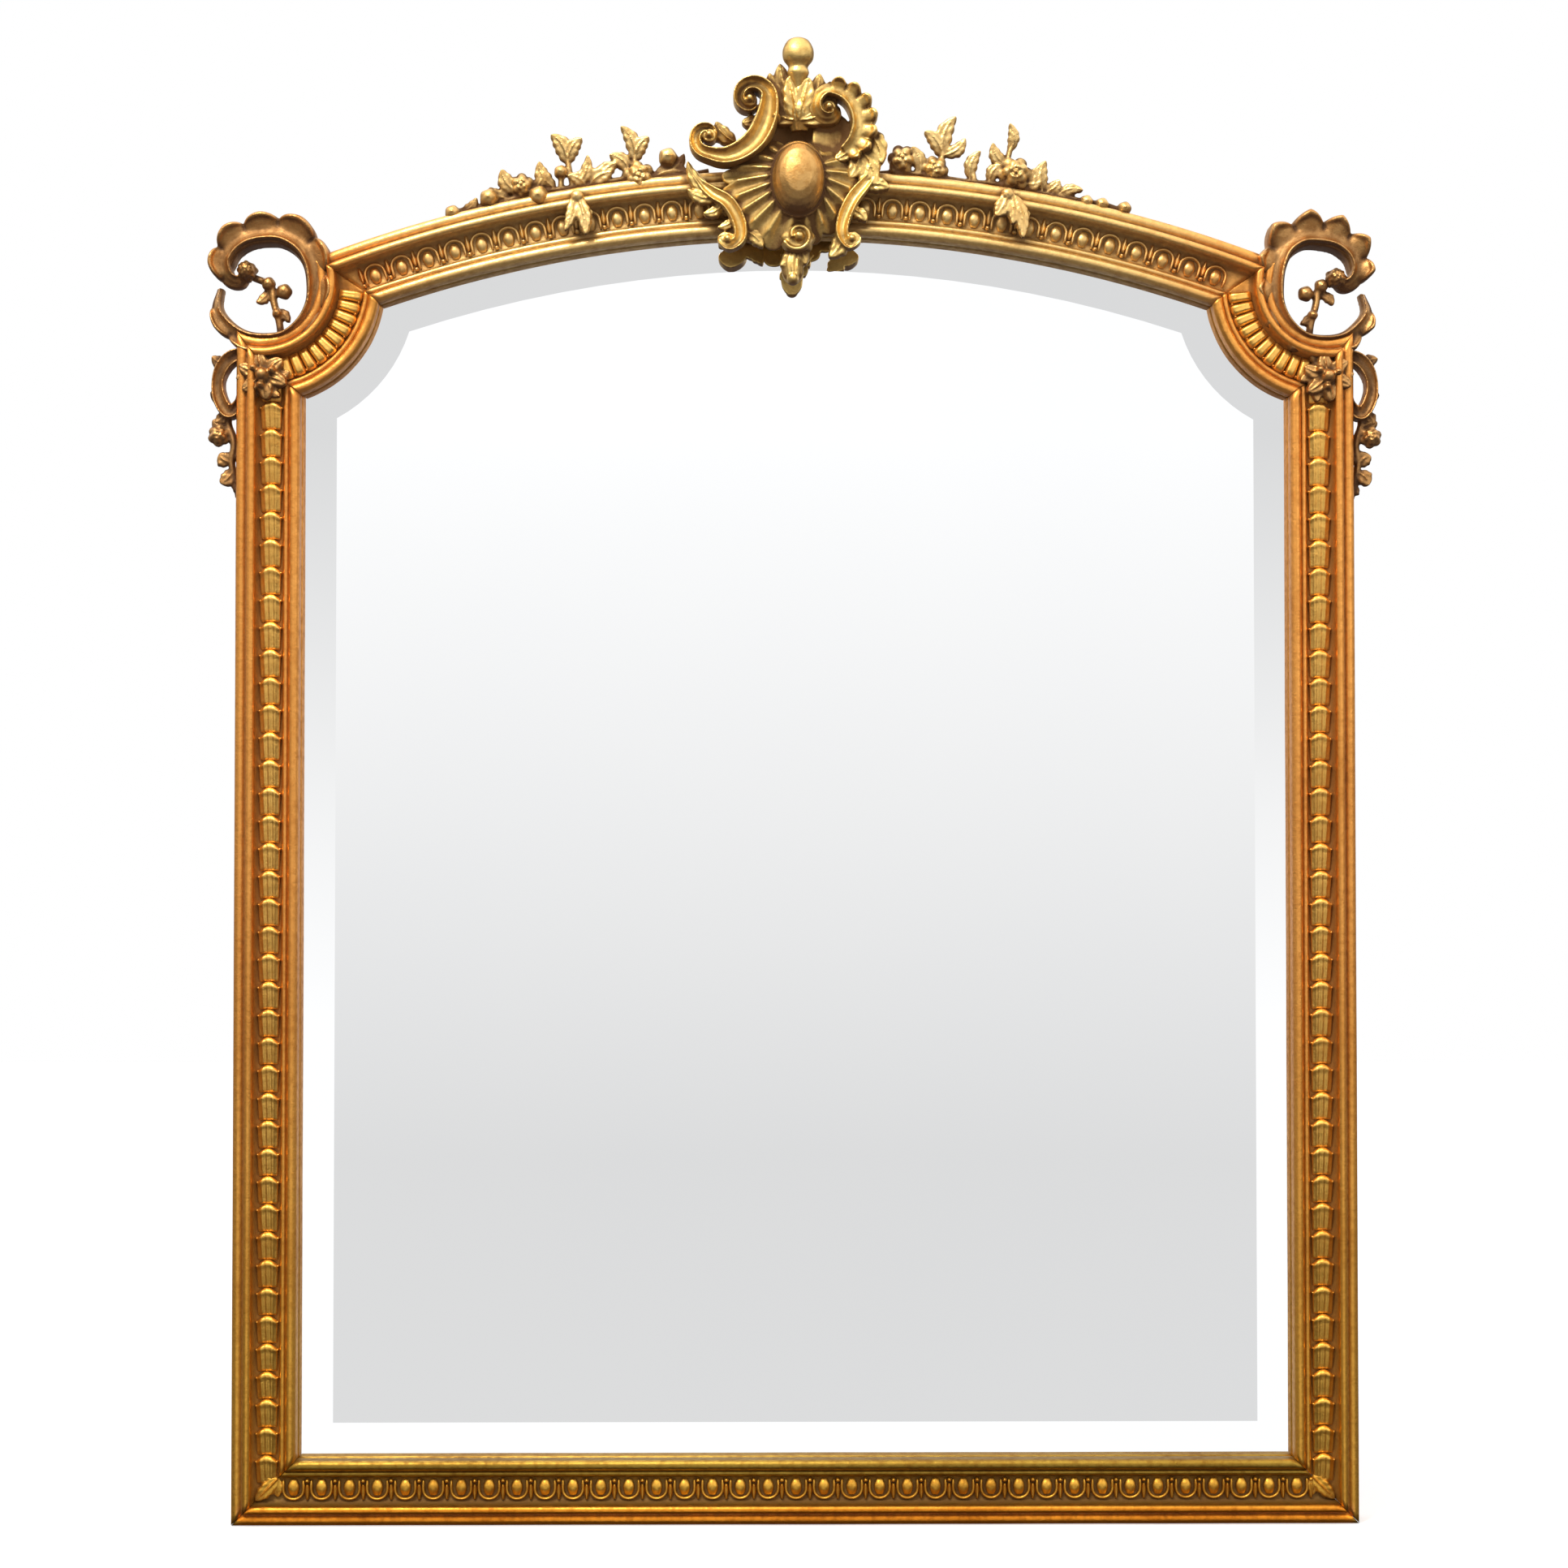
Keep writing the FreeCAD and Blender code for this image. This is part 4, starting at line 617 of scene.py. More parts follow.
def laid_run(name, unit, guide, material, seed):
    """Copies of a unit on guide rows (place, turn about Y in radians, scale as 3 numbers)."""
    mesh = bpy.data.meshes.new(name)
    mesh.from_pydata([row[0] for row in guide], [], [])
    for label, column in (("turn", [(0, row[1], 0) for row in guide]), ("grow", [row[2] for row in guide])):
        layer = mesh.attributes.new(label, "FLOAT_VECTOR", "POINT")
        layer.data.foreach_set("vector", np.array(column, np.float32).ravel())
    thing = bpy.data.objects.new(name, mesh)
    bpy.context.scene.collection.objects.link(thing)
    modifier = thing.modifiers.new("run", "NODES")
    modifier.node_group = run_tree
    wanted = {"Unit": unit, "Seed": seed, "Variation": VARIATION, "Smoothing": SMOOTHING,
              "Material": MATERIALS[material]}
    for item in run_tree.interface.items_tree:
        if item.in_out == "INPUT" and item.name in wanted:
            modifier[item.identifier] = wanted[item.name]
    shade_smooth(freeze(thing))
    return thing


print("run tree has", len(run_tree.nodes), "nodes")


# %% Units of ornament
def pillow(across, along, rise, sink=0.002):
    """A closed low form over a grid: its top stands off the floor and its foot is sunk into it."""
    rows, columns = rise.shape
    top = np.stack([across, -rise, along], -1).reshape(-1, 3)
    rim = rim_of(rows, columns)
    foot = top[rim].copy()
    foot[:, 1] = sink
    faces = grid_faces(rows, columns, 0, False)
    start = rows * columns
    count = len(rim)
    faces += [(rim[i], rim[(i + 1) % count], start + (i + 1) % count, start + i) for i in range(count)]
    faces.append(tuple(range(start, start + count)))
    return np.concatenate([top, foot]), faces


def bead_shell(across, along, radius, rise):
    """A round bead: a low dome on the floor."""
    rings = []
    for share, lift in ((1.0, -0.2), (1.0, 0.35), (0.75, 0.8), (0.3, 1.0)):
        turns = np.linspace(0, 2 * math.pi, 8, endpoint=False)
        rings.append([(across + radius * share * math.cos(a), -rise * lift,
                       along + radius * share * math.sin(a)) for a in turns])
    return tube(rings)


def spread(rows, columns):
    """Shares along (0 to 1) and across (-1 to 1) a grid."""
    return np.meshgrid(np.linspace(0, 1, rows), np.linspace(-1, 1, columns), indexing="ij")


def shell_cup():
    """One stile unit: a fluted cup leaf with a round lip, and a bead at each side of its foot."""
    u, v = spread(9, 13)
    half = 0.0112 + 0.0014 * u
    along = UNIT_PITCH * (1.06 * u - 0.24 * v ** 2 * u ** 2) - 0.5 * UNIT_PITCH
    lip = np.where(u > 0.95, 0.6, 1.0)
    flutes = 0.0009 * np.cos(4 * math.pi * v) * np.sin(math.pi * np.clip(0.15 + 0.75 * u, 0, 1))
    band = 0.0012 * np.exp(-((u - 0.86) / 0.07) ** 2) - 0.0010 * np.exp(-((u - 0.70) / 0.06) ** 2)
    rise = (0.0030 + 0.0068 * u ** 0.9) * np.sqrt(1 - 0.75 * v ** 4) * lip + flutes + band
    beads = [bead_shell(hand * 0.0118, 0.30 * UNIT_PITCH, 0.0020, 0.0058) for hand in (-1, 1)]
    return joined([pillow(half * v, along, rise)] + beads)


def swept_ridge(path, half, rise):
    """A low ridge along a path on the floor."""
    rings = []
    for i, place in enumerate(path):
        before, after = path[max(i - 1, 0)], path[min(i + 1, len(path) - 1)]
        run = np.array(after) - np.array(before)
        side = np.array([run[1], -run[0]]) / np.hypot(*run)
        rings.append([(place[0] + side[0] * half * a, -rise * f, place[1] + side[1] * half * a)
                      for a, f in ((-1, -0.3), (-0.7, 0.75), (0, 1), (0.7, 0.75), (1, -0.3))])
    return tube(rings)


def egg_cup():
    """One rail unit: an egg in a U-shaped cup, with a dart and a bead beside it."""
    u, v = spread(7, 7)
    egg_rise = 0.0058 * np.sqrt(1 - 0.8 * v ** 2) * np.sin(math.pi * (0.12 + 0.8 * u))
    egg = pillow(0.0070 * v * np.sin(math.pi * np.clip(u, 0.08, 0.94)) ** 0.5, 0.0195 * (u - 0.40),
                 egg_rise)
    turns = np.radians(np.linspace(-180, 0, 8))
    bowl = [(0.0118 * math.cos(a), 0.0108 * math.sin(a) - 0.0005) for a in turns]
    cup = swept_ridge([(-0.0112, 0.0120)] + bowl + [(0.0112, 0.0120)], 0.0024, 0.0050)
    dart = pillow(0.5 * UNIT_PITCH + 0.0030 * v * np.sin(math.pi * (0.15 + 0.7 * u)),
                  0.0185 * (u - 0.66), 0.0056 * (1 - 0.6 * np.abs(v)))
    bead = bead_shell(0.5 * UNIT_PITCH, 0.0098, 0.0030, 0.0066)
    return joined([egg, cup, dart, bead])


def gadroon():
    """One shoulder unit: a swelling lobe, wider towards the glass, with a crease down its middle."""
    u, v = spread(7, 7)
    half = 0.0066 + 0.0012 * u
    end = np.sqrt(np.clip(1 - (2 * u - 1) ** 6, 0.2, 1))
    rise = (0.0096 * end - 0.0008 * np.exp(-(v / 0.22) ** 2)) * np.sqrt(1 - 0.85 * v ** 4)
    along = 0.0262 * (u - 0.53) + 0.0022 * np.where(u > 0.8, 1 - v ** 2, 0)
    bead = bead_shell(0.0075, 0.0105, 0.0019, 0.007)
    return joined([pillow(half * v, along, rise), bead])


UNITS = {}
for label, shell in (("shell_cup", shell_cup()), ("egg_cup", egg_cup()), ("gadroon", gadroon())):
    UNITS[label] = mesh_object(f"{label}_unit", shell, "stile")
    print(label, "has", len(shell[1]), "faces")


# %% Lay the runs
def stile_guide(side):
    low, high = MOULDING - FLOOR_IN - 0.006, stile_mitre(FLOOR_IN)[1] + 0.006
    count = round((high - low) / UNIT_PITCH)
    pitch = (high - low) / count
    stretch = (1, 1, pitch / UNIT_PITCH)
    across = side * (SIGHT_HALF + FLOOR_MIDDLE)
    return [((across, -FLOOR_DEPTH, low + pitch * (i + 0.5)), 0, stretch) for i in range(count)]


def bottom_guide():
    reach = SIGHT_HALF + FLOOR_IN - 0.002
    count = round(2 * reach / UNIT_PITCH)
    pitch = 2 * reach / count
    return [((-reach + pitch * (i + 0.5), -FLOOR_DEPTH, MOULDING - FLOOR_MIDDLE), 0,
             (pitch / UNIT_PITCH, 1, 1)) for i in range(count)]


def top_guide():
    radius = ARCH_RADIUS + FLOOR_MIDDLE
    reach = math.asin((-rail_mitre(FLOOR_IN + 0.008)[0] - 0.003) / (ARCH_RADIUS + FLOOR_OUT))
    count = round(2 * reach * radius / UNIT_PITCH)
    step = 2 * reach / count
    rows = []
    for i in range(count):
        turn = -reach + step * (i + 0.5)
        place = (radius * math.sin(turn), -FLOOR_DEPTH, ARCH_CENTRE + radius * math.cos(turn))
        rows.append((place, turn + math.pi, (step * radius / UNIT_PITCH, 1, 1)))
    return rows


def shoulder_guide(side):
    count = 10
    ends = [math.atan2(up - SHOULDER_HEIGHT, across + SHOULDER_ACROSS)
            for across, up in (stile_mitre(FLOOR_IN), rail_mitre(FLOOR_IN))]
    margin = math.radians(0.5)
    step = (ends[1] - ends[0] - 2 * margin) / count
    radius = SHOULDER_RADIUS - FLOOR_MIDDLE
    rows = []
    for i in range(count):
        turn = ends[0] + margin + step * (i + 0.5)
        ray = (-side * math.cos(turn), math.sin(turn))
        place = (side * SHOULDER_ACROSS + ray[0] * radius, -FLOOR_DEPTH, SHOULDER_HEIGHT + ray[1] * radius)
        rows.append((place, math.atan2(ray[0], ray[1]), (abs(step) * radius / 0.0142, 1, 1)))
    return rows


RUNS = [("bottom_rail_cups", "bottom_rail_egg_cups", "egg_cup", bottom_guide(), "foot_run", 3),
        ("top_rail_cups", "top_rail_egg_cups", "egg_cup", top_guide(), "arch_run", 4)]
for side, hand in HANDS:
    RUNS += [(f"{hand}_stile_cups", f"{hand}_stile_shell_cups", "shell_cup", stile_guide(side), "stile_run",
              5 + side),
             (f"{hand}_shoulder_gadroons", f"{hand}_shoulder_lobes", "gadroon", shoulder_guide(side),
              "stile_run", 8 + side)]
runs = {label: laid_run(name, UNITS[unit], guide, material, seed)
        for label, name, unit, guide, material, seed in RUNS}
for unit in UNITS.values():
    bpy.data.objects.remove(unit)
print("laid", len(runs), "runs")

# %% [markdown]
# ## Carving tools
# A carver works a scroll, a leaf or a flower from one block, and the gilder's gesso softens every
# inner corner. The same order works here: rough forms are swept or gridded from a few stations, pushed
# into each other, and fused by a voxel remesh whose cells are about a millimetre. A light smoothing
# then stands for the gesso.


# %% Smooth lines through stations
def flow(stations, count):
    """A smooth line of count points through stations of any number of columns."""
    rows = np.array(stations, float)
    padded = np.vstack([2 * rows[0] - rows[1], rows, 2 * rows[-1] - rows[-2]])
    steps = np.linspace(0, len(rows) - 1, count)
    first = np.minimum(steps.astype(int), len(rows) - 2)
    t = (steps - first)[:, None]
    a, b, c, d = (padded[first + k] for k in range(4))
    return 0.5 * (2 * b + (c - a) * t + (2 * a - 5 * b + 4 * c - d) * t ** 2
                  + (3 * b - a - 3 * c + d) * t ** 3)


SECTIONS = {
    "round": [(-1, 0), (-0.97, 0.35), (-0.85, 0.62), (-0.6, 0.86), (-0.3, 0.97), (0, 1),
              (0.3, 0.97), (0.6, 0.86), (0.85, 0.62), (0.97, 0.35), (1, 0)],
    "channel": [(-1, 0), (-1, 0.7), (-0.95, 0.92), (-0.84, 1), (-0.72, 0.97), (-0.58, 0.84),
                (-0.3, 0.74), (0, 0.71), (0.3, 0.75), (0.58, 0.84), (0.72, 0.97), (0.84, 1),
                (0.95, 0.92), (1, 0.7), (1, 0)],
    "ribbed": [(-1, 0), (-0.98, 0.45), (-0.86, 0.62), (-0.74, 0.5), (-0.6, 0.72), (-0.42, 0.92),
               (-0.26, 0.78), (-0.1, 0.95), (0.08, 1), (0.24, 0.86), (0.4, 0.94), (0.58, 0.8),
               (0.72, 0.55), (0.86, 0.62), (0.98, 0.42), (1, 0)],
}


print("sections", {label: len(section) for label, section in SECTIONS.items()})


# %% Scrolls
def scroll(stations, back, rises, section="channel", count=120, lobes=0, lobe_side=1, lobe_size=0.25,
           lobe_span=(0.1, 0.9), lobe_point=0.0):
    """A carved band swept along stations (across, up, half-width). Lobes scallop one of its edges:
    lobe_span is the stretch that has them, and lobe_point turns them from round (0) to pointed (1)."""
    line = flow(stations, count)
    lift = flow([(rise,) for rise in rises], count)[:, 0]
    run = np.gradient(line[:, :2], axis=0)
    run /= np.linalg.norm(run, axis=1)[:, None] + 1e-12
    side = np.stack([run[:, 1], -run[:, 0]], 1)
    share = np.linspace(0, 1, count)
    span = np.clip((share - lobe_span[0]) / (lobe_span[1] - lobe_span[0]), 0, 1)
    rounded = np.abs(np.sin(math.pi * lobes * span)) ** 0.7
    pointed = 1 - np.abs(2 * (lobes * span % 1) - 1)
    scallop = lobe_size * (rounded + (pointed - rounded) * lobe_point) if lobes else np.zeros(count)
    crease = 0.60 * (1 - scallop / lobe_size) ** 2 if lobes else scallop
    rings = []
    for i in range(count):
        ring = []
        for across, forward in SECTIONS[section]:
            outward = max(across * lobe_side, 0)
            reach = line[i, 2] * across * (1 + scallop[i] * (outward > 0.3))
            forward *= 1 - crease[i] * outward
            foot = line[i, :2] + side[i] * reach
            ring.append((foot[0], -(back + lift[i] * forward), foot[1]))
        rings.append(ring)
    return tube(rings)


# %% Leaves
def leaf(start, end, half, back, rise=0.008, bend=0.12, lobes=3, tilt=0.0, curl=0.35):
    """An acanthus leaf: a raised midrib, lobed edges, veins between the lobes and a curled tip."""
    start, end = np.array(start), np.array(end)
    run = end - start
    normal = np.array([-run[1], run[0]])
    u, v = spread(6 * max(lobes, 2) + 5, 13)
    swing = 4 * bend * u * (1 - u)
    spine = start + u[..., None] * run + swing[..., None] * normal
    outline = np.clip(np.sin(math.pi * (0.06 + 0.94 * u ** 0.85)), 0, 1) ** 0.75
    teeth = 1 + 0.22 * (np.abs(np.sin(math.pi * lobes * u)) - 0.6) * v ** 4
    width = half * (0.08 + 0.92 * outline) * teeth
    cross = normal / (np.linalg.norm(run) + 1e-9)
    sweep = run / (np.linalg.norm(run) + 1e-9)
    place = spine + (width * v)[..., None] * cross
    place += (0.25 * half * v ** 2 * outline)[..., None] * sweep
    body = 0.45 + 0.55 * np.sin(math.pi * np.clip(0.1 + 0.8 * u, 0, 1))
    vein = 0.05 * np.cos(2 * math.pi * (lobes * u - 0.9 * np.abs(v)))
    rib = 0.28 * np.exp(-(v / 0.11) ** 2) * (1 - u * 0.6)
    cup = 0.30 * v ** 2 - 0.55 * v ** 6
    lift = rise * (body * (0.72 + cup + vein * np.abs(v)) + rib + curl * u ** 4) + tilt * u
    top = np.stack([place[..., 0], -(back + np.maximum(lift, rise * 0.15)), place[..., 1]], -1)
    under = top.copy()
    under[..., 1] = -(back + tilt * u * 0.6)
    return two_sided(top, under)


def two_sided(top, under):
    """A closed form between two grids that share their outline."""
    rows, columns = top.shape[:2]
    points = np.concatenate([top.reshape(-1, 3), under.reshape(-1, 3)])
    faces = grid_faces(rows, columns, 0, False)
    start = rows * columns
    faces += [tuple(start + q for q in reversed(quad)) for quad in faces]
    rim = rim_of(rows, columns)
    count = len(rim)
    faces += [(rim[i], rim[i] + start, rim[(i + 1) % count] + start, rim[(i + 1) % count])
              for i in range(count)]
    return points, faces


# %% Bosses, buds and flowers
def dome(centre, back, radius, height, profile, count=28, lobes=0, depth=0.0, squash=1.0, turn=0.0):
    """A turned or lobed boss that faces forward. profile rows are (share of radius, share of height)."""
    rings = []
    for share, lift in profile:
        ring = []
        for i in range(count):
            angle = turn + 2 * math.pi * i / count
            reach = radius * share * (1 + depth * math.cos(lobes * angle))
            ring.append((centre[0] + reach * math.cos(angle), -(back + height * lift),
                         centre[1] + squash * reach * math.sin(angle)))
        rings.append(ring)
    return tube(rings)


BALL = [(0.7, 0), (0.93, 0.15), (1, 0.35), (0.95, 0.58), (0.8, 0.78), (0.55, 0.93), (0.25, 0.99),
        (0.05, 1)]
BUTTON = [(1, 0), (1, 0.5), (0.93, 0.68), (0.8, 0.72), (0.66, 0.6), (0.56, 0.62), (0.5, 0.85),
          (0.3, 0.98), (0.05, 1)]


def petal(centre, back, inner, outer, angle, width, low, high):
    """One cupped petal: it rises from the heart and rolls over at its lip."""
    u, v = spread(7, 7)
    reach = inner + (outer - inner) * (u - 0.14 * v ** 2 * u)
    turn = angle + width * v * (0.55 + 0.45 * np.sin(math.pi * (0.15 + 0.6 * u)))
    lift = low + (high - low) * np.sin(math.pi * (0.15 + 0.62 * u)) * (1 - 0.25 * v ** 2)
    top = np.stack([centre[0] + reach * np.cos(turn), -(back + lift), centre[1] + reach * np.sin(turn)],
                   -1)
    under = top.copy()
    under[..., 1] = -(back + np.maximum(lift - 0.45 * high, 0))
    return two_sided(top, under)


def rose(centre, back, radius, height, turn=0.0):
    """A full flower: three whorls of petals round a closed heart."""
    shells = [dome(centre, back, radius * 0.72, height * 0.55, BALL)]
    whorls = ((6, 0.95, 0.50, 0.35, 0.72), (5, 0.72, 0.56, 0.5, 0.9), (4, 0.46, 0.7, 0.6, 1.0))
    for ring, (count, reach, width, low, high) in enumerate(whorls):
        for i in range(count):
            angle = turn + 0.5 * ring + 2 * math.pi * i / count
            shells.append(petal(centre, back, radius * 0.12, radius * reach, angle, width,
                                height * low, height * high))
    shells.append(dome(centre, back, radius * 0.2, height * 1.02, BALL, 12))
    return shells


def bud(centre, back, radius, height, angle=0.0):
    """A closed bud with five creased lobes and a little eye."""
    return [dome(centre, back, radius, height, BALL, 40, 5, 0.045, turn=angle),
            dome(centre, back, radius * 0.3, height * 1.08, BALL, 12)]


def berry(centre, back, radius, height):
    """A mulberry: a dome closely set with small grains."""
    shells = [dome(centre, back, radius * 0.86, height * 0.9, BALL)]
    grains, golden_angle = 24, math.pi * (3 - math.sqrt(5))
    for i in range(grains):
        share = math.sqrt((i + 0.5) / grains)
        angle = golden_angle * i
        place = (centre[0] + radius * 0.86 * share * math.cos(angle),
                 centre[1] + radius * 0.86 * share * math.sin(angle))
        top = height * (0.35 + 0.65 * math.sqrt(max(1 - share ** 2, 0)))
        shells.append(dome(place, back, radius * 0.24, top, BALL, 10))
    return shells


# %% Fuse a carving
def fused(name, shells, material, cell=0.0012, soften=2):
    """Rough forms fused into one carved piece, softened as gesso softens carving."""
    thing = mesh_object(name, joined(shells), material)
    fuse = thing.modifiers.new("fuse", "REMESH")
    fuse.mode = "VOXEL"
    fuse.voxel_size = cell
    smooth = thing.modifiers.new("gesso", "SMOOTH")
    smooth.factor, smooth.iterations = 0.5, soften
    shade_smooth(freeze(thing))
    CARVINGS.append(thing)
    return thing


def carve(label, shells, material="carving", cell=0.0012, soften=2):
    """The carving that takes the place of the solid called label."""
    settle(fused(f"{label}_carving", shells, material, cell, soften), "gilt_carving", label)


CARVINGS = []
print("carving tools ready")

# %% [markdown]
# ## The crest
# The crest is the heart of the frame: a fluted shell round a smooth egg-shaped boss, an S-scroll and a
# C-scroll that climb to a finial, flame leaves at its foot, acanthus at both sides, and a rosette and
# pendant that drop over the glass. Places on it are in millimetres from the crest's datum, as a carver
# marks them on the board.


# %% Places on the crest
def crest(across, up):
    return across / 1000, CREST_DATUM + up / 1000


def crest_rows(rows):
    """(across, up, half-width) in millimetres as metres on the crest."""
    return [(*crest(x, z), half / 1000) for x, z, half in rows]


def volute_rows(centre, radii, angles, halves, steps):
    """Rows of a spiral that winds from a first to a last radius, angle and half-width."""
    rows = []
    for i in range(steps + 1):
        share = i / steps
        turn = math.radians(between(*angles, share))
        reach = between(*radii, share)
        rows.append((centre[0] + reach * math.cos(turn), centre[1] + reach * math.sin(turn),
                     between(*halves, share)))
    return rows


print("crest datum", [round(x, 3) for x in crest(0, 0)])


# %% The shell
def fluted_shell():
    centre, flutes = crest(-8, 54), 19
    columns = flutes * 12
    layers = [(1.0, 0.0), (1.0, 0.006), (0.985, 0.0085), (0.93, 0.0105), (0.8, 0.0145), (0.65, 0.0185),
              (0.5, 0.0215), (0.38, 0.023), (0.2, 0.0235), (0.02, 0.0235)]
    rings = []
    for reach, rise in layers:
        ring = []
        for i in range(columns):
            angle = 2 * math.pi * i / columns
            wave = abs(math.sin(flutes * angle / 2))
            lobe = 1 - 0.13 * (1 - wave ** 0.7) * (reach > 0.9)
            depth = 0.0056 * (wave ** 1.4) * (rise > 0) * min(1, (reach - 0.2) / 0.4) * (reach > 0.2)
            sway = 1 + 0.05 * math.sin(3 * angle + 0.6)
            x = centre[0] + 0.080 * sway * reach * lobe * math.cos(angle) + (1 - reach) * 0.018
            z = centre[1] + 0.064 * sway * reach * lobe * math.sin(angle) + (1 - reach) * 0.022
            ring.append((x, -(CREST_BACK + rise + 0.003 - depth), z))
        rings.append(ring)
    return [tube(rings)]


carve("crest_shell", fluted_shell(), cell=0.0011)


# %% The boss
def boss_shells():
    centre = crest(2, 67)
    profile = [(0.93, 0.0), (0.98, 0.15), (1.0, 0.3), (0.97, 0.5), (0.88, 0.7), (0.72, 0.85), (0.5, 0.95),
               (0.25, 0.99), (0.03, 1.0)]
    rim = [(1, 0), (1, 0.6), (0.96, 0.9), (0.9, 0.95), (0.5, 0.8)]
    return [dome(centre, CREST_BACK + 0.014, 0.0295, 0.044, profile, 48, squash=1.37),
            dome(centre, CREST_BACK + 0.012, 0.0335, 0.014, rim, 48, squash=1.34)]


carve("crest_boss", boss_shells(), "corner", soften=4)


# %% The scrolls
LEFT_SCROLL = volute_rows((-100, 116), (5, 20), (-360, -90), (4, 8), 8)
LEFT_SCROLL += [(-82, 93, 10), (-63, 99, 12), (-46, 113, 13), (-35, 134, 13), (-31, 154, 11)]
LEFT_SCROLL += volute_rows((-52, 158), (21, 6), (25, 320), (9, 4), 8)
RIGHT_SCROLL = volute_rows((38, 149), (6, 22), (400, 90), (4, 9), 8)
RIGHT_SCROLL += [(58, 165, 11), (71, 150, 13), (75, 130, 13), (69, 111, 12), (56, 98, 9)]
LEFT_RISES = [0.020, 0.026, 0.028, 0.030, 0.034, 0.036, 0.034, 0.030, 0.024]
RIGHT_RISES = [0.024, 0.030, 0.034, 0.036, 0.034, 0.030, 0.024]

left = [scroll(crest_rows(LEFT_SCROLL), CREST_BACK, LEFT_RISES, count=220),
        dome(crest(-99, 117), CREST_BACK, 0.008, 0.034, BUTTON),
        dome(crest(-53, 158), CREST_BACK, 0.0085, 0.036, BUTTON)]
left += [leaf(crest(-70, 112), crest(-92, 134), 0.010, CREST_BACK, 0.020),
         leaf(crest(-44, 140), crest(-62, 132), 0.008, CREST_BACK + 0.004, 0.020, lobes=2)]
carve("crest_left_scroll", left, cell=0.0011)
right = [scroll(crest_rows(RIGHT_SCROLL), CREST_BACK, RIGHT_RISES, count=200, lobes=7, lobe_side=-1,
                lobe_size=0.45, lobe_span=(0.62, 1.0), lobe_point=0.5),
         dome(crest(37, 149), CREST_BACK, 0.0085, 0.036, BUTTON),
         dome(crest(42, 117), CREST_BACK, 0.024, 0.006,
              [(1, 0), (1, 0.8), (0.9, 1.0), (0.5, 0.8), (0.1, 0.6)], squash=1.25)]
right += [leaf(crest(66, 118), crest(84, 104), 0.009, CREST_BACK, 0.020),
          leaf(crest(60, 104), crest(44, 92), 0.008, CREST_BACK, 0.020, lobes=2)]
carve("crest_right_scroll", right, cell=0.0011)


# %% The cove between the scrolls
def cove():
    """A scooped board that narrows upwards. It carries the crest and shows dark between the scrolls."""
    low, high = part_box("crest_support")
    u, v = spread(21, 25)
    half = 0.044 - 0.020 * np.clip(1.6 * u - 0.45, 0, 1) ** 0.8 + 0.003 * np.sin(5 * u)
    scoop = 0.017 * np.exp(-(v / 0.55) ** 2) * np.clip(2.6 * u - 1.0, 0, 1)
    up = between(low.z + 0.004, high.z - 0.0005, u)
    top = np.stack([0.002 + half * v, low.y + 0.0005 + scoop, up], -1)
    under = top.copy()
    under[..., 1] = np.where(u < 0.3, -CREST_BACK + 0.0012, high.y - 0.001)
    return [two_sided(top, under)]


settle(fused("crest_support_cove", cove(), "carving", soften=1), "gilt_support", "crest_support")


# %% The finial and its flame leaves
def turned_upright(centre, levels):
    """A turning on an upright axis through centre (x, y). levels are (radius, up) in millimetres."""
    rings = []
    for radius, up in flow([(radius / 1000, CREST_DATUM + up / 1000) for radius, up in levels], 60):
        radius = max(radius, 0.0003)
        rings.append([(centre[0] + radius * math.cos(a), centre[1] + radius * math.sin(a), up)
                      for a in np.linspace(0, 2 * math.pi, 36, endpoint=False)])
    return tube(rings)


FINIAL = [(4, 158), (5, 172), (9, 182), (12.5, 190), (11, 196), (13, 200), (16.8, 205), (18, 212),
          (16.8, 219), (12, 227), (5, 230.3), (0.3, 231)]
carve("crest_finial", [turned_upright((0.002, -(CREST_BACK + 0.0155)), FINIAL)], soften=3)
FLAMES = [(-19, 201, 0.05), (-31, 190, 0.12), (-38, 172, 0.2), (27, 189, -0.1), (39, 180, -0.16),
          (44, 168, -0.2), (-8, 186, 0.0), (14, 184, 0.0)]
flames = [leaf(crest(2, 136), crest(x, z), 0.0140, CREST_BACK + 0.0009 * i, 0.018, bend, 4)
          for i, (x, z, bend) in enumerate(FLAMES)]
flames.append(scroll(crest_rows([(4, 126, 9), (3, 146, 14), (3, 168, 9)]), CREST_BACK,
                     [0.010, 0.022, 0.018], "ribbed", 60))
flames.append(dome(crest(-24, 138), CREST_BACK, 0.006, 0.034, BALL, 20))
carve("crest_flame_leaves", flames)

# %% The acanthus at both sides of the shell
LEFT_STEM = [(-114, 70, 3), (-96, 54, 7), (-78, 42, 8), (-66, 22, 8), (-64, 2, 7), (-76, -8, 5),
             (-86, 0, 4), (-79, 8, 3)]
RIGHT_STEM = [(92, 82, 3), (78, 64, 7), (64, 46, 8), (54, 24, 8), (52, 6, 7), (60, -6, 5), (70, 0, 4),
              (64, 8, 3)]
STEM_RISES = [0.010, 0.018, 0.022, 0.022, 0.022, 0.020, 0.018, 0.016]
LEFT_ACANTHUS = [(-94, 52, -124, 90, 8), (-90, 48, -124, 58, 8), (-62, 12, -38, -8, 9),
                 (-84, 40, -106, 30, 7), (-70, 26, -90, 14, 6)]
RIGHT_ACANTHUS = [(72, 132, 98, 88, 12), (66, 110, 90, 64, 11), (80, 62, 106, 60, 9), (54, 14, 38, -20, 11),
                  (62, 36, 80, 22, 8), (70, 108, 60, 70, 11), (84, 96, 72, 66, 9)]
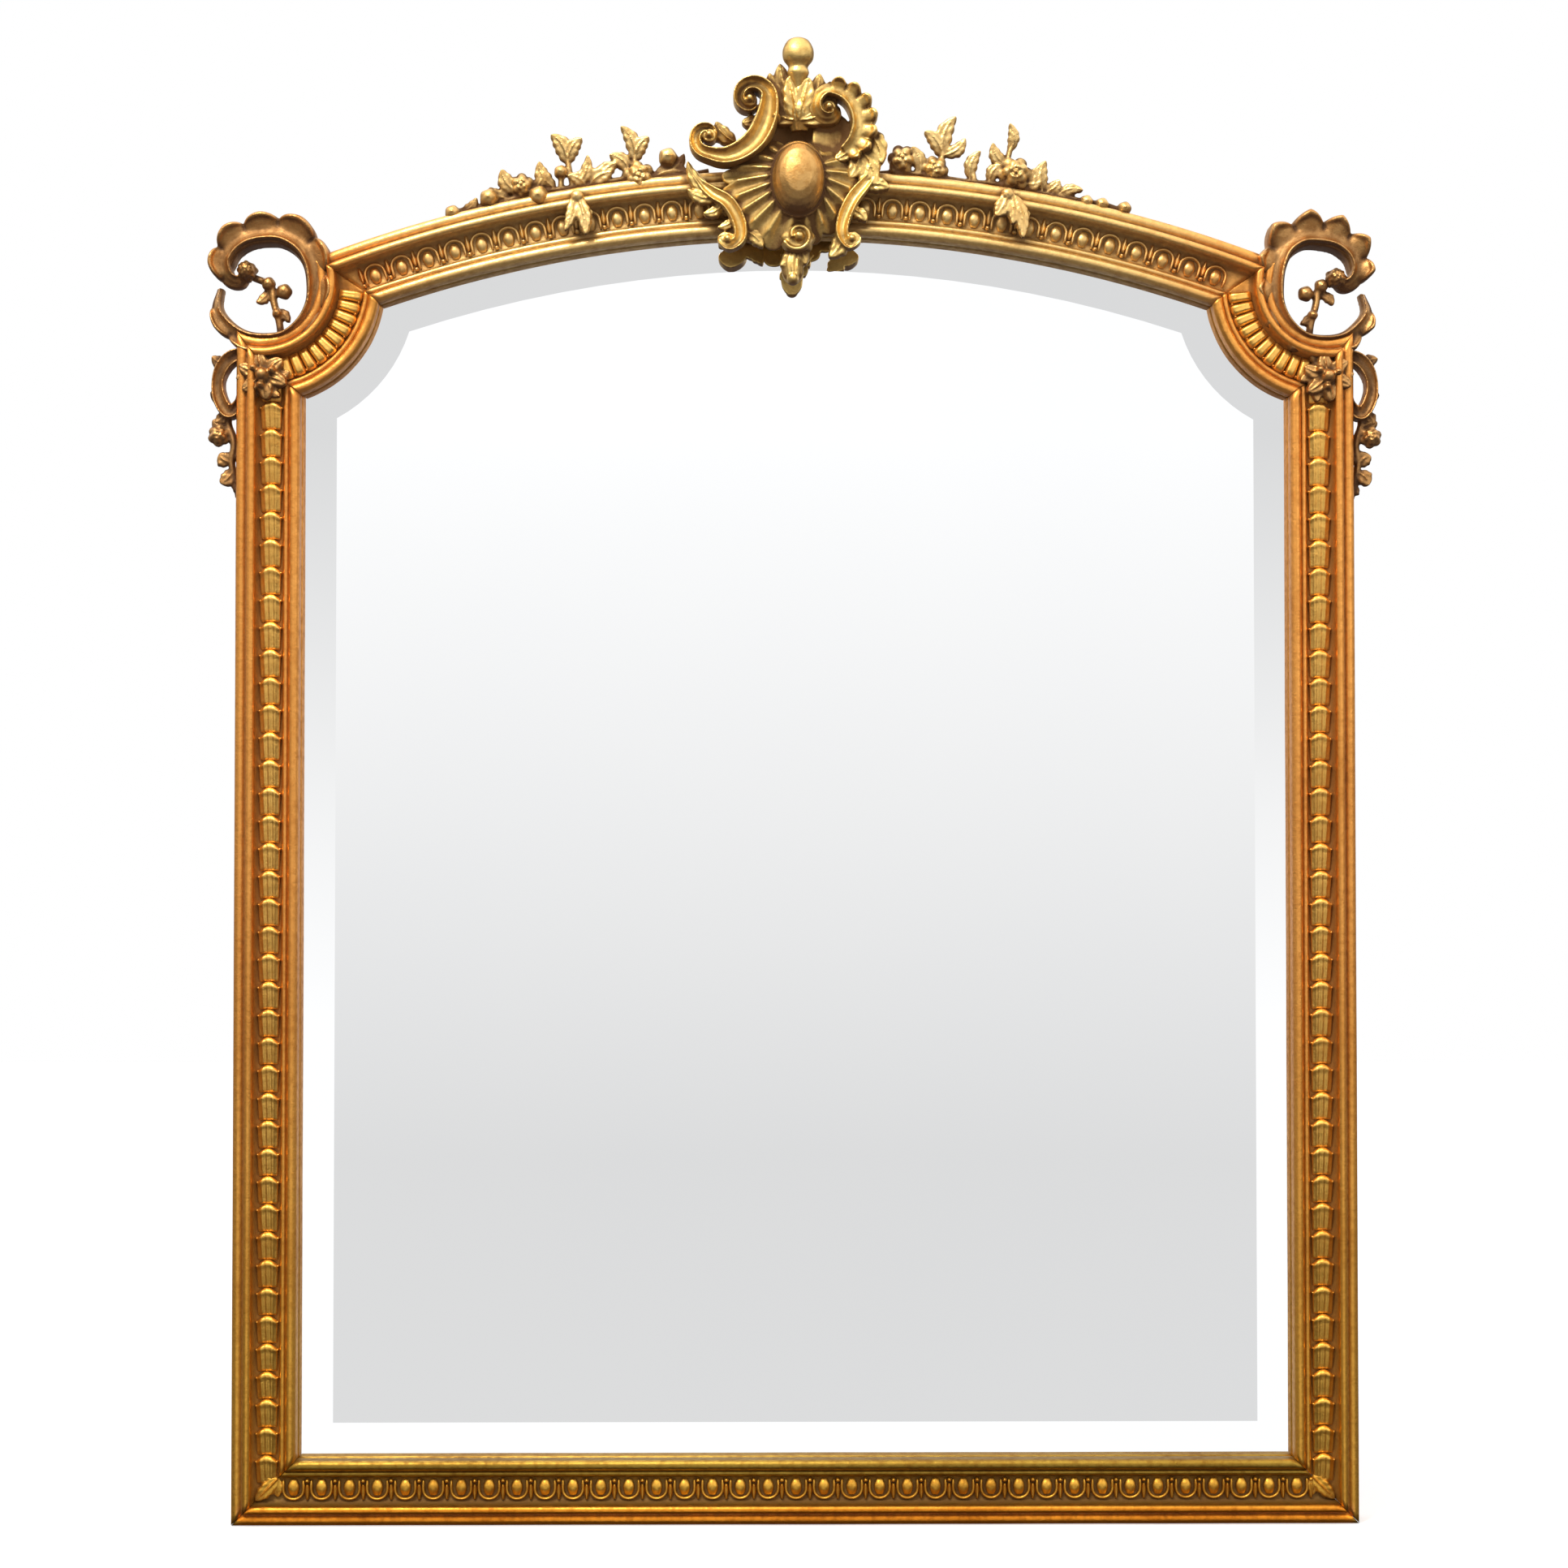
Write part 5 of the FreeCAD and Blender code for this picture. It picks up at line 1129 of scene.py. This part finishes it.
for hand, stem, button, leaves, rise in (("left", LEFT_STEM, (-78, 0, 8.5), LEFT_ACANTHUS, 0.014),
                                         ("right", RIGHT_STEM, (63, 1, 8), RIGHT_ACANTHUS, 0.016)):
    acanthus = [scroll(crest_rows(stem), CREST_BACK, STEM_RISES, count=140),
                dome(crest(*button[:2]), CREST_BACK, button[2] / 1000, 0.024, BUTTON)]
    acanthus += [leaf(crest(x0, z0), crest(x1, z1), half / 1000, CREST_BACK, rise, lobes=4)
                 for x0, z0, x1, z1, half in leaves]
    carve(f"crest_{hand}_acanthus", acanthus)

# %% The rosette and the pendant
rosette = [dome(crest(2, 3), CREST_BACK, 0.0195, 0.020,
                [(0.95, 0), (1, 0.4), (0.9, 0.8), (0.6, 1.0), (0.2, 0.9)], 60, 8, 0.07),
           scroll(crest_rows(volute_rows((2, 3), (17, 7), (200, 560), (4.5, 3), 14)), CREST_BACK + 0.006,
                  [0.018, 0.020, 0.022], "round", 120),
           dome(crest(3, 3), CREST_BACK, 0.0075, 0.028, BALL)]
carve("crest_rosette", rosette)
pendant = [scroll(crest_rows([(0, -8, 8), (-4, -24, 12.5), (-4, -38, 12), (-4, -46, 8), (-4, -50, 3)]),
                  CREST_BACK, [0.014, 0.018, 0.018, 0.014, 0.008], "ribbed", 80),
           dome(crest(-4, -44), CREST_BACK, 0.0075, 0.020, BALL)]
pendant += [leaf(crest(-3, -6), crest(x, z), 0.008, CREST_BACK, 0.016)
            for x, z in ((-18, -30), (11, -28))]
carve("crest_pendant", pendant)

# %% [markdown]
# ## The garlands
# A trailing stem lies along the top rail at each side of the crest. It carries leaves, buds and full
# roses, and two tapering drops hang from it over the moulding. Places are (across, height above the
# moulding) in millimetres, and the height is measured along the arch.


# %% Places on the arch
def arch(across, rise):
    radius = ARCH_RADIUS + MOULDING
    return across / 1000, ARCH_CENTRE + math.sqrt(radius ** 2 - (across / 1000) ** 2) + rise / 1000


LEAVES = {-1: [(-386, 0, -366, 12, 6), (-318, 8, -338, 38, 9), (-315, -6, -346, -13, 7),
               (-278, 6, -295, 38, 8), (-263, 33, -281, 67, 9), (-262, 33, -246, 57, 8),
               (-255, 2, -239, 36, 7), (-238, 0, -212, 12, 10), (-185, 24, -201, 64, 8),
               (-185, 24, -169, 48, 8), (-190, 10, -214, 33, 8), (-165, 0, -122, 0, 11),
               (-155, 4, -128, 24, 7), (-330, 4, -352, 20, 7), (-300, 10, -290, 24, 6),
               (-226, 4, -206, 22, 8), (-200, 6, -178, 12, 9), (-352, 4, -372, -6, 6),
               (-240, 0, -262, 16, 7)],
          1: [(168, 28, 148, 53, 8), (169, 28, 184, 74, 9), (170, 28, 195, 50, 7),
              (200, 4, 212, 38, 7), (247, 44, 246, 75, 6), (243, 26, 226, 49, 7), (268, 2, 274, 28, 7),
              (284, 4, 287, 39, 8), (288, 4, 303, 20, 7), (288, 2, 314, -16, 7), (142, 2, 134, 34, 7),
              (222, 4, 236, 26, 7), (262, 10, 282, 14, 7), (130, 6, 108, 14, 8), (150, 2, 176, -6, 8),
              (300, 2, 330, 14, 6)]}
BUDS = {-1: [(-394, 2, 9), (-352, 8, 11), (-295, -2, 12), (-270, 22, 8), (-147, 22, 11)],
        1: [(334, 2, 8), (352, 3, 8), (378, 5, 8)]}
ROSES = {-1: [(-315, 15, 15), (-180, 3, 19)], 1: [(122, 19, 17), (160, 11, 16), (252, 18, 20)]}
STEMS = {-1: [(-256, 0, -263, 37), (-188, 0, -185, 28), (-270, 0, -270, 24), (-140, 0, -147, 22)],
         1: [(166, 0, 169, 34), (236, 0, 247, 48), (206, 0, 204, 12)]}
DROPS = {-1: [(-250, -14, -240, -60, 8), (-254, -14, -264, -52, 6)],
         1: [(242, -12, 228, -40, 9), (246, -12, 247, -46, 7), (250, -12, 259, -60, 8)]}
print("garland leaves", {side: len(rows) for side, rows in LEAVES.items()})


# %% Carve the garlands
def garland(side):
    reach = (-400, -100) if side < 0 else (96, 384)
    xs = np.linspace(*reach, 12)
    stem = [(*arch(x, 2.5 + 1.2 * math.sin(x / 17)), 0.0035 + 0.0008 * math.sin(x / 9)) for x in xs]
    shells = [scroll(stem, GARLAND_BACK, [0.008, 0.010, 0.009, 0.010, 0.008], "round", 140)]
    for x0, r0, x1, r1 in STEMS[side]:
        rows = [(*arch(between(x0, x1, t), between(r0, r1, t)), 0.0034) for t in (0, 0.35, 0.7, 1)]
        shells.append(scroll(rows, GARLAND_BACK, [0.009, 0.010, 0.009], "round", 24))
    for i, (x0, r0, x1, r1, half) in enumerate(LEAVES[side]):
        bend = 0.14 if i % 2 else -0.14
        shells.append(leaf(arch(x0, r0), arch(x1, r1), half * 1.12 / 1000, 0.034, 0.0115, bend, 4, 0.002))
    for x, rise, radius in BUDS[side]:
        shells += bud(arch(x, rise), 0.031, radius / 1000, (1.4 * radius + 9) / 1000, x / 50)
    for x, rise, radius in ROSES[side]:
        shells += rose(arch(x, rise), 0.026, radius * 1.04 / 1000, (0.72 * (radius + 22)) / 1000, x / 40)
    for x0, r0, x1, r1, half in DROPS[side]:
        shells.append(leaf(arch(x0, r0), arch(x1, r1), half * 1.1 / 1000, 0.0592, 0.010, 0.06, 5))
    return shells + bud(arch(*DROPS[side][0][:2]), 0.0575, 0.0075, 0.011)


for side, hand in HANDS:
    carve(f"{hand}_garland", garland(side), "garland")

# %% Leaves over the lower mitres
for side, hand in HANDS:
    inner = (side * (SIGHT_HALF + FLOOR_IN), MOULDING - FLOOR_IN)
    outer = (side * (SIGHT_HALF + FLOOR_OUT), MOULDING - FLOOR_OUT)
    shells = [leaf(inner, tip, half, FLOOR_DEPTH - 0.0015, rise, 0.0, 4, curl=0.1)
              for tip, half, rise in ((outer, 0.0085, 0.010), ((inner[0], outer[1] + 0.004), 0.0062, 0.007),
                                      ((outer[0] - side * 0.004, inner[1]), 0.0062, 0.007))]
    settle(fused(f"{hand}_foot_mitre_leaf", shells, "foot_run", 0.0008), "gilt_ornament")

# %% [markdown]
# ## The corners
# Each upper corner carries an open volute ring, a sprig that bridges its hole, a star-petalled flower
# cluster, a C-shaped loop down the outer edge, and a thin drop with one round flower. The rings' outer
# edges have round lobes on the left and pointed ones on the right, and their curls differ too.


# %% Places at the corners
def corner(side, x, z):
    """A place in millimetres from the corner's middle, with x to the right."""
    return side * CORNER_ACROSS + x / 1000, CORNER_HEIGHT + z / 1000


def inward(side, x, z):
    """The same, with x towards the glass."""
    return corner(side, -side * x, z)


LEFT_VOLUTE = [(-18, 12, 5), (-27, 1, 7), (-40, 6, 9), (-46, 24, 11), (-38, 42, 13), (-21, 55, 14),
               (2, 60, 14), (26, 59, 15), (48, 46, 15), (60, 25, 13), (64, 0, 12), (61, -26, 11),
               (49, -49, 11), (28, -65, 10), (3, -69, 10), (-22, -64, 9), (-42, -50, 8), (-54, -30, 6),
               (-50, -6, 3)]
RIGHT_VOLUTE = [(10, 6, 5), (20, -1, 7), (32, 6, 9), (37, 22, 11), (31, 40, 13), (14, 54, 14), (-8, 60, 15),
                (-32, 59, 15), (-52, 46, 15), (-61, 25, 13), (-64, 0, 12), (-61, -26, 11), (-49, -49, 11),
                (-28, -65, 10), (-3, -69, 10), (20, -64, 9), (38, -50, 8), (48, -32, 6), (42, -10, 3)]
print("corners at", [round(x, 3) for side, _ in HANDS for x in corner(side, 0, 0)])


# %% Carve the rings
def volute_ring(side):
    rows = LEFT_VOLUTE if side < 0 else RIGHT_VOLUTE
    stations = [(*corner(side, x, z), half * 0.92 / 1000) for x, z, half in rows]
    rises = [(20 + 18 * math.sin(math.pi * min(i + 2, 18) / 20)) / 1000 for i in range(len(rows))]
    lobes, size, point = (10, 0.62, 0.25) if side < 0 else (12, 0.86, 0.8)
    shells = [scroll(stations, CORNER_BACK, rises, "channel", 260, lobes, side, size, (0.12, 0.95), point)]
    middle = np.array(corner(side, -4 * side, -4))
    for depth, rise in ((0.55, 0.6), (1.10, 0.72)):
        ridge = []
        for x, z, half in stations[3:]:
            away = np.array([x, z]) - middle
            ridge.append((*(middle + away * (1 - depth * half / np.linalg.norm(away))), 0.0022))
        shells.append(scroll(ridge, CORNER_BACK, [r * rise for r in rises[3:]], "round", 160))
    x, z, _ = rows[0]
    return shells + berry(corner(side, x, z + 2), 0.032, 0.012, 0.030)


for side, hand in HANDS:
    carve(f"{hand}_corner_volute", volute_ring(side), "corner")


# %% Carve the sprigs and the flower clusters
def leaves_at(side, rows, half, back, rise, lobes=3):
    """Leaves from root to tip, for rows of (root x, root z, tip x, tip z)."""
    return [leaf(inward(side, x0, z0), inward(side, x1, z1), half, back, rise, lobes=lobes)
            for x0, z0, x1, z1 in rows]


def sprig(side):
    rows = [(*inward(side, x, z), 0.0042) for x, z in ((-12, 8), (8, -2), (12, -22), (18, -44), (20, -62))]
    shells = [scroll(rows, 0.0315, [0.008, 0.0095, 0.0085], "round", 80)]
    for x, z, radius in ((6, 0, 8), (24, -9, 9), (16, -34, 6)):
        shells += bud(inward(side, x, z), 0.030, radius / 1000, 0.016, x)
    return shells + leaves_at(side, [(14, -30, 30, -44), (6, -8, -8, -22)], 0.006, 0.031, 0.010)


def cluster(side):
    """A six-petalled flower on six low leaves, with three buds on it."""
    centre = inward(side, 2, -107)

    def away(angle, reach):
        return centre[0] + reach * math.cos(angle), centre[1] + reach * math.sin(angle)

    shells = [dome(centre, 0.038, 0.009, 0.029, BALL, 20), dome(centre, 0.038, 0.015, 0.018, BALL, 28)]
    for i in range(6):
        angle = math.radians(98 + 60 * i)
        root = away(angle, 0.006)
        shells.append(leaf(root, away(angle, 0.029), 0.0088, 0.0445, 0.0175, 0.05, 2, -0.004))
        shells.append(leaf(root, away(angle + 0.52, 0.031), 0.0075, 0.0400, 0.0120, -0.08, 3, 0.001))
    for angle in (0.4, 2.5, 4.6):
        shells += bud(away(angle, 0.012), 0.040, 0.0055, 0.0245)
    return shells


for side, hand in HANDS:
    carve(f"{hand}_corner_sprig", sprig(side), "corner")
    carve(f"{hand}_corner_flowers", cluster(side), "corner")

# %% Carve the loops and the drops
LOOP = [(-14, -82, 6), (-32, -84, 8), (-45, -96, 8), (-51, -114, 7), (-48, -134, 8), (-38, -148, 8),
        (-27, -138, 6), (-25, -120, 4)]
LOOP_RISES = [0.020, 0.024, 0.024, 0.022, 0.024, 0.024, 0.020, 0.014]
DROP = [(-36, -142, 4), (-40, -160, 4), (-33, -184, 5), (-36, -206, 4), (-31, -228, 4), (-31, -246, 1.2)]
DROP_RISES = [0.010, 0.010, 0.012, 0.010, 0.008, 0.003]

for side, hand in HANDS:
    rows = [(*inward(side, x, z), half / 1000) for x, z, half in LOOP]
    shells = [scroll(rows, CORNER_BACK, LOOP_RISES)]
    shells += leaves_at(side, [(-42, -92, -58.5, -84), (-48, -128, -60, -126), (-42, -146, -54, -160)],
                        0.0075, 0.027, 0.015)
    carve(f"{hand}_corner_loop", shells, "corner")
    rows = [(*inward(side, x, z), half / 1000) for x, z, half in DROP]
    shells = [scroll(rows, 0.029, DROP_RISES, "round")]
    shells += rose(inward(side, -50, -175), 0.026, 0.0135, 0.024, 0.4)
    shells += leaves_at(side, [(-38, -165, -58, -158), (-36, -206, -50, -196), (-34, -214, -48, -230),
                               (-33, -190, -22, -200), (-32, -226, -24, -240)], 0.0095, 0.029, 0.012)
    carve(f"{hand}_corner_drop", shells, "corner")

# %% [markdown]
# ## Put the pieces in place
# The members and the runs of ornament take the place of their solids. The glass, the back, the blocks
# and the hangers are plain sawn, rolled or turned parts, so their solids are shown as they are, each with
# its own material.

# %% Settle members and runs
for label, member in members.items():
    settle(member, "gilt_moulding", label)
for label, run in runs.items():
    settle(run, "gilt_ornament", label)
GILT = [*members.values(), *runs.values(), *CARVINGS]
print(len(GILT), "gilt pieces")

# %% Paint the solids that stay
KEPT = {"mirror_glass": "plate", "glazing_blocks": "hardwood", "lower_back_batten": "pine_across",
        "upper_back_batten": "pine_across", "hanger_screws": "steel"}
KEPT.update({f"backboard_plank_{i}": "pine_up" for i in range(1, 6)})
for hand in ("left", "right"):
    KEPT[f"{hand}_hanger_plate"] = "iron"
    KEPT[f"{hand}_hanger_ring"] = "brass"
for label, material in KEPT.items():
    mesh = bpy.data.objects[label].data
    mesh.materials.clear()
    mesh.materials.append(MATERIALS[material])
print("painted", len(KEPT), "solids")

# %% [markdown]
# ## Where the hollows and the painted shade are
# Dirt and dark wash stay in the hollows of carving, and a hand rubs its ridges. The same dark colour also
# paints the shade in recesses, in the gaps between forms and on undersides. To know which is which,
# all gilt pieces are laid into one depth map seen from the front. Where the map's blurred surface stands
# higher than a point, the point lies in a hollow. A narrow blur finds creases and wider ones find the
# gaps between forms. Undersides facing down get painted shade as if lit from above: all of them on
# carving, and on the members only high on the frame. The tone grows with height and towards both
# sides, and along the frame's lowest edge.


# %% A depth map of the gilt pieces
CELL, BORDER, MOST_STEPS = 0.0012, 0.02, 400
BOX_CORNERS = np.array([tuple(place) for thing in GILT for place in thing.bound_box])[:, [0, 2]]
LOW, HIGH = BOX_CORNERS.min(0) - BORDER, BOX_CORNERS.max(0) + BORDER
SHAPE = tuple(np.ceil((HIGH - LOW) / CELL).astype(int) + 1)
depth_map = np.zeros(SHAPE)


def threes(rows, field, kind=float):
    """A field of three values for each of a mesh's vertices, normals or triangles."""
    values = np.empty(len(rows) * 3, kind)
    rows.foreach_get(field, values)
    return values.reshape(-1, 3)


def cells_of(points):
    """The map's cells that the points lie in, seen from the front."""
    return tuple(((points[:, [0, 2]] - LOW) / CELL).round().astype(int).T)


def stamp(points):
    np.maximum.at(depth_map, cells_of(points), -points[:, 1])


for thing in GILT:
    thing.data.calc_loop_triangles()
    points = threes(thing.data.vertices, "co")
    triangles = threes(thing.data.loop_triangles, "vertices", np.int32)
    a, b, c = (points[triangles[:, k]] for k in range(3))
    size = np.maximum(np.linalg.norm(b - a, axis=1), np.linalg.norm(c - a, axis=1))
    size = np.maximum(size, np.linalg.norm(c - b, axis=1))
    steps = np.ceil(size / CELL).astype(int)
    for needed in np.unique(steps):
        chosen = steps == needed
        count = min(int(needed), MOST_STEPS)
        for i in range(count + 1):
            for j in range(count + 1 - i):
                u, v = i / count, j / count
                stamp(a[chosen] * (1 - u - v) + b[chosen] * u + c[chosen] * v)
print("depth map", SHAPE, "covered", round(float((depth_map > 0).mean()), 3))


# %% Blur it and mark the hollows and the painted shade
def box_blur(field, reach):
    """A running mean over a square, along each axis in turn."""
    for axis in (0, 1):
        nothing = np.zeros_like(np.take(field, [0], axis))
        padded = np.concatenate([nothing, np.cumsum(field, axis)], axis)
        length = field.shape[axis]
        high = np.minimum(np.arange(length) + reach + 1, length)
        low = np.maximum(np.arange(length) - reach, 0)
        field = (np.take(padded, high, axis) - np.take(padded, low, axis)) / (2 * reach + 1)
    return field


def surround(reach):
    """The mean depth of the covered cells round each cell."""
    covered = (depth_map > 0).astype(float)
    total, share = depth_map * covered, covered
    for _ in range(2):
        total, share = box_blur(total, reach), box_blur(share, reach)
    return total / np.maximum(share, 1e-6)


NEAR, WIDE, BROAD = surround(3), surround(9), surround(18)


def climb(value, low, high):
    share = np.clip((value - low) / (high - low), 0, 1)
    return share * share * (3 - 2 * share)


def mark(thing, label, values):
    layer = thing.data.attributes.new(label, "FLOAT", "POINT")
    layer.data.foreach_set("value", values.astype(np.float32))


for thing in GILT:
    points = threes(thing.data.vertices, "co")
    normals = threes(thing.data.vertex_normals, "vector")
    cells, own, carved = cells_of(points), -points[:, 1], thing in CARVINGS
    # Painted shade and wash: points below their blurred surround, in creases and gaps between forms, are
    # marked to take the dark wash colour.
    near = (NEAR[cells] - own) / 0.006
    wide = (WIDE[cells] - own) / (0.016 if carved else 0.06)
    broad = (BROAD[cells] - own) / 0.03 if carved else 0
    facing = np.clip(0.35 - normals[:, 1], 0, 1)
    # Painted shade: undersides facing down are darkened as if lit from above, fully on carving and, on the
    # members, more the higher they stand.
    underside_shade_weight = 1.0 if carved else 0.75 * climb(points[:, 2], 0.9, 1.3)
    under = underside_shade_weight * np.clip(-1.3 * normals[:, 2] - 0.25, 0, 1)
    mark(thing, "hollow_and_shade", np.maximum(np.clip(near + wide + broad, -1, 1) * facing, np.clip(under, -1, 1)))
    height_and_side_share = climb(points[:, 2], 0.05, 0.75) * (0.10 + 0.90 * climb(np.abs(points[:, 0]), 0.34, 0.56))
    low_edge = climb(-points[:, 2], 0.052 - MOULDING, 0.060 - MOULDING)
    mark(thing, "tone", np.clip(height_and_side_share + low_edge * (np.abs(points[:, 0]) < SIGHT_HALF + 0.07), 0, 1))
print("hollows marked on", len(GILT), "pieces")

# %% [markdown]
# ## The view
# The camera stands a little left of the middle, three and a half metres away and a little below the
# mirror's middle. Its lens and tilt come from fitting the sight edge, the arch and the corners.

# %% Camera
STANDPOINT = (-0.0508, -3.5, 0.7475)
FIELD_OF_VIEW, TILT, SWING = 29.036, 1.5335, -0.614  # degrees
scene = bpy.context.scene
lens = bpy.data.cameras.new("camera")
lens.sensor_width = 36.0
lens.angle = math.radians(FIELD_OF_VIEW)
camera = bpy.data.objects.new("camera", lens)
camera.location = STANDPOINT
camera.rotation_euler = (math.radians(90 + TILT), 0, math.radians(SWING))
scene.collection.objects.link(camera)
scene.camera = camera
print("lens", round(lens.lens, 2), "mm")

# %% [markdown]
# ## Light and surroundings
# The mirror shows the room in front of it: bright above and fading to a pale grey below, with the
# bevel catching other parts of the room. The world gives white to the camera, this pale room to
# reflections, and soft light to everything else. A large soft lamp above the left shoulder models the
# carving, and a weak one on the right fills its shadows.


# %% World
def build_world():
    """The ramps read the direction of a ray: the sine of its angle to the side or upwards."""
    world = bpy.data.worlds.new("pale room")
    world.use_nodes = True
    tree = world.node_tree
    tree.nodes.clear()
    way = tree.nodes.new("ShaderNodeSeparateXYZ")
    tree.links.new(tree.nodes.new("ShaderNodeTexCoord").outputs["Generated"], way.inputs[0])
    across, _, up = way.outputs
    room = mix_colour(tree, ramp(tree, up, -0.095, 0.14), (0.735, 0.735, 0.735), (1.03, 1.03, 1.03))
    rim = mix_colour(tree, ramp(tree, up, -0.05, 0.14), (1.03, 1.03, 1.03), (0.72, 0.72, 0.72))
    _, _, times, larger = arithmetic(tree)
    turn = math_node(tree, "ABSOLUTE", across)
    rise = math_node(tree, "ABSOLUTE", up)
    beside = larger(ramp(tree, turn, 0.20, 0.22), ramp(tree, rise, 0.235, 0.25))
    seen = mix_colour(tree, beside, room, rim)
    sky = mix_colour(tree, ramp(tree, up, -0.22, 0.6), (0.05, 0.042, 0.035), (1.6, 1.57, 1.52))
    low_side = times(ramp(tree, turn, 0.24, 0.28), ramp(tree, up, -0.22, -0.27))
    away = larger(ramp(tree, turn, 0.46, 0.54), ramp(tree, rise, 0.46, 0.54))
    seen = mix_colour(tree, larger(away, low_side), seen, sky)
    path = tree.nodes.new("ShaderNodeLightPath")
    mirrored = larger(path.outputs["Is Glossy Ray"], path.outputs["Is Transmission Ray"])
    light = mix_colour(tree, mirrored, (0.62, 0.62, 0.63), seen)
    light = mix_colour(tree, path.outputs["Is Camera Ray"], light, (1.0, 1.0, 1.0))
    shade = tree.nodes.new("ShaderNodeBackground")
    tree.links.new(light, shade.inputs["Color"])
    tree.links.new(shade.outputs[0], tree.nodes.new("ShaderNodeOutputWorld").inputs["Surface"])
    return world


scene.world = build_world()
print("world", scene.world.name)


# %% Lamps
def lamp(name, place, aim, size, power, tint):
    data = bpy.data.lights.new(name, "AREA")
    data.size, data.energy, data.color = size, power, tint
    thing = bpy.data.objects.new(name, data)
    thing.location = place
    thing.rotation_euler = (Vector(aim) - Vector(place)).to_track_quat("-Z", "Y").to_euler()
    scene.collection.objects.link(thing)


lamp("key", (-0.9, -1.7, 3.3), (0, 0, 1.0), 1.0, 70, (1.0, 0.97, 0.90))
lamp("fill", (2.2, -2.4, 1.6), (0, 0, 0.8), 1.6, 9, (0.95, 0.97, 1.0))
print("lamps placed")


# %% Floor
def pale_floor():
    """It takes the shadow, glows a little to the camera, and isn't seen in reflections."""
    material, tree, shader = blank_material("pale_floor")
    shader.inputs["Base Color"].default_value = (0.90, 0.90, 0.90, 1)
    shader.inputs["Roughness"].default_value = 0.9
    path = tree.nodes.new("ShaderNodeLightPath")
    shader.inputs["Emission Color"].default_value = (1, 1, 1, 1)
    _, take, times, _ = arithmetic(tree)
    tree.links.new(times(path.outputs["Is Camera Ray"], 0.45), shader.inputs["Emission Strength"])
    tree.links.new(take(1.0, path.outputs["Is Glossy Ray"]), shader.inputs["Alpha"])
    return material


MATERIALS["floor"] = pale_floor()
FLOOR_REACH = 8
corners = [(x * FLOOR_REACH, y * FLOOR_REACH, 0) for x, y in ((-1, -1), (1, -1), (1, 1), (-1, 1))]
floor = bpy.data.objects.new("floor", bpy.data.meshes.new("floor"))
floor.data.from_pydata(corners, [], [(0, 1, 2, 3)])
floor.data.materials.append(MATERIALS["floor"])
scene.collection.objects.link(floor)
scene.view_settings.view_transform = "Standard"
print("floor", [round(x) for x in floor.dimensions])
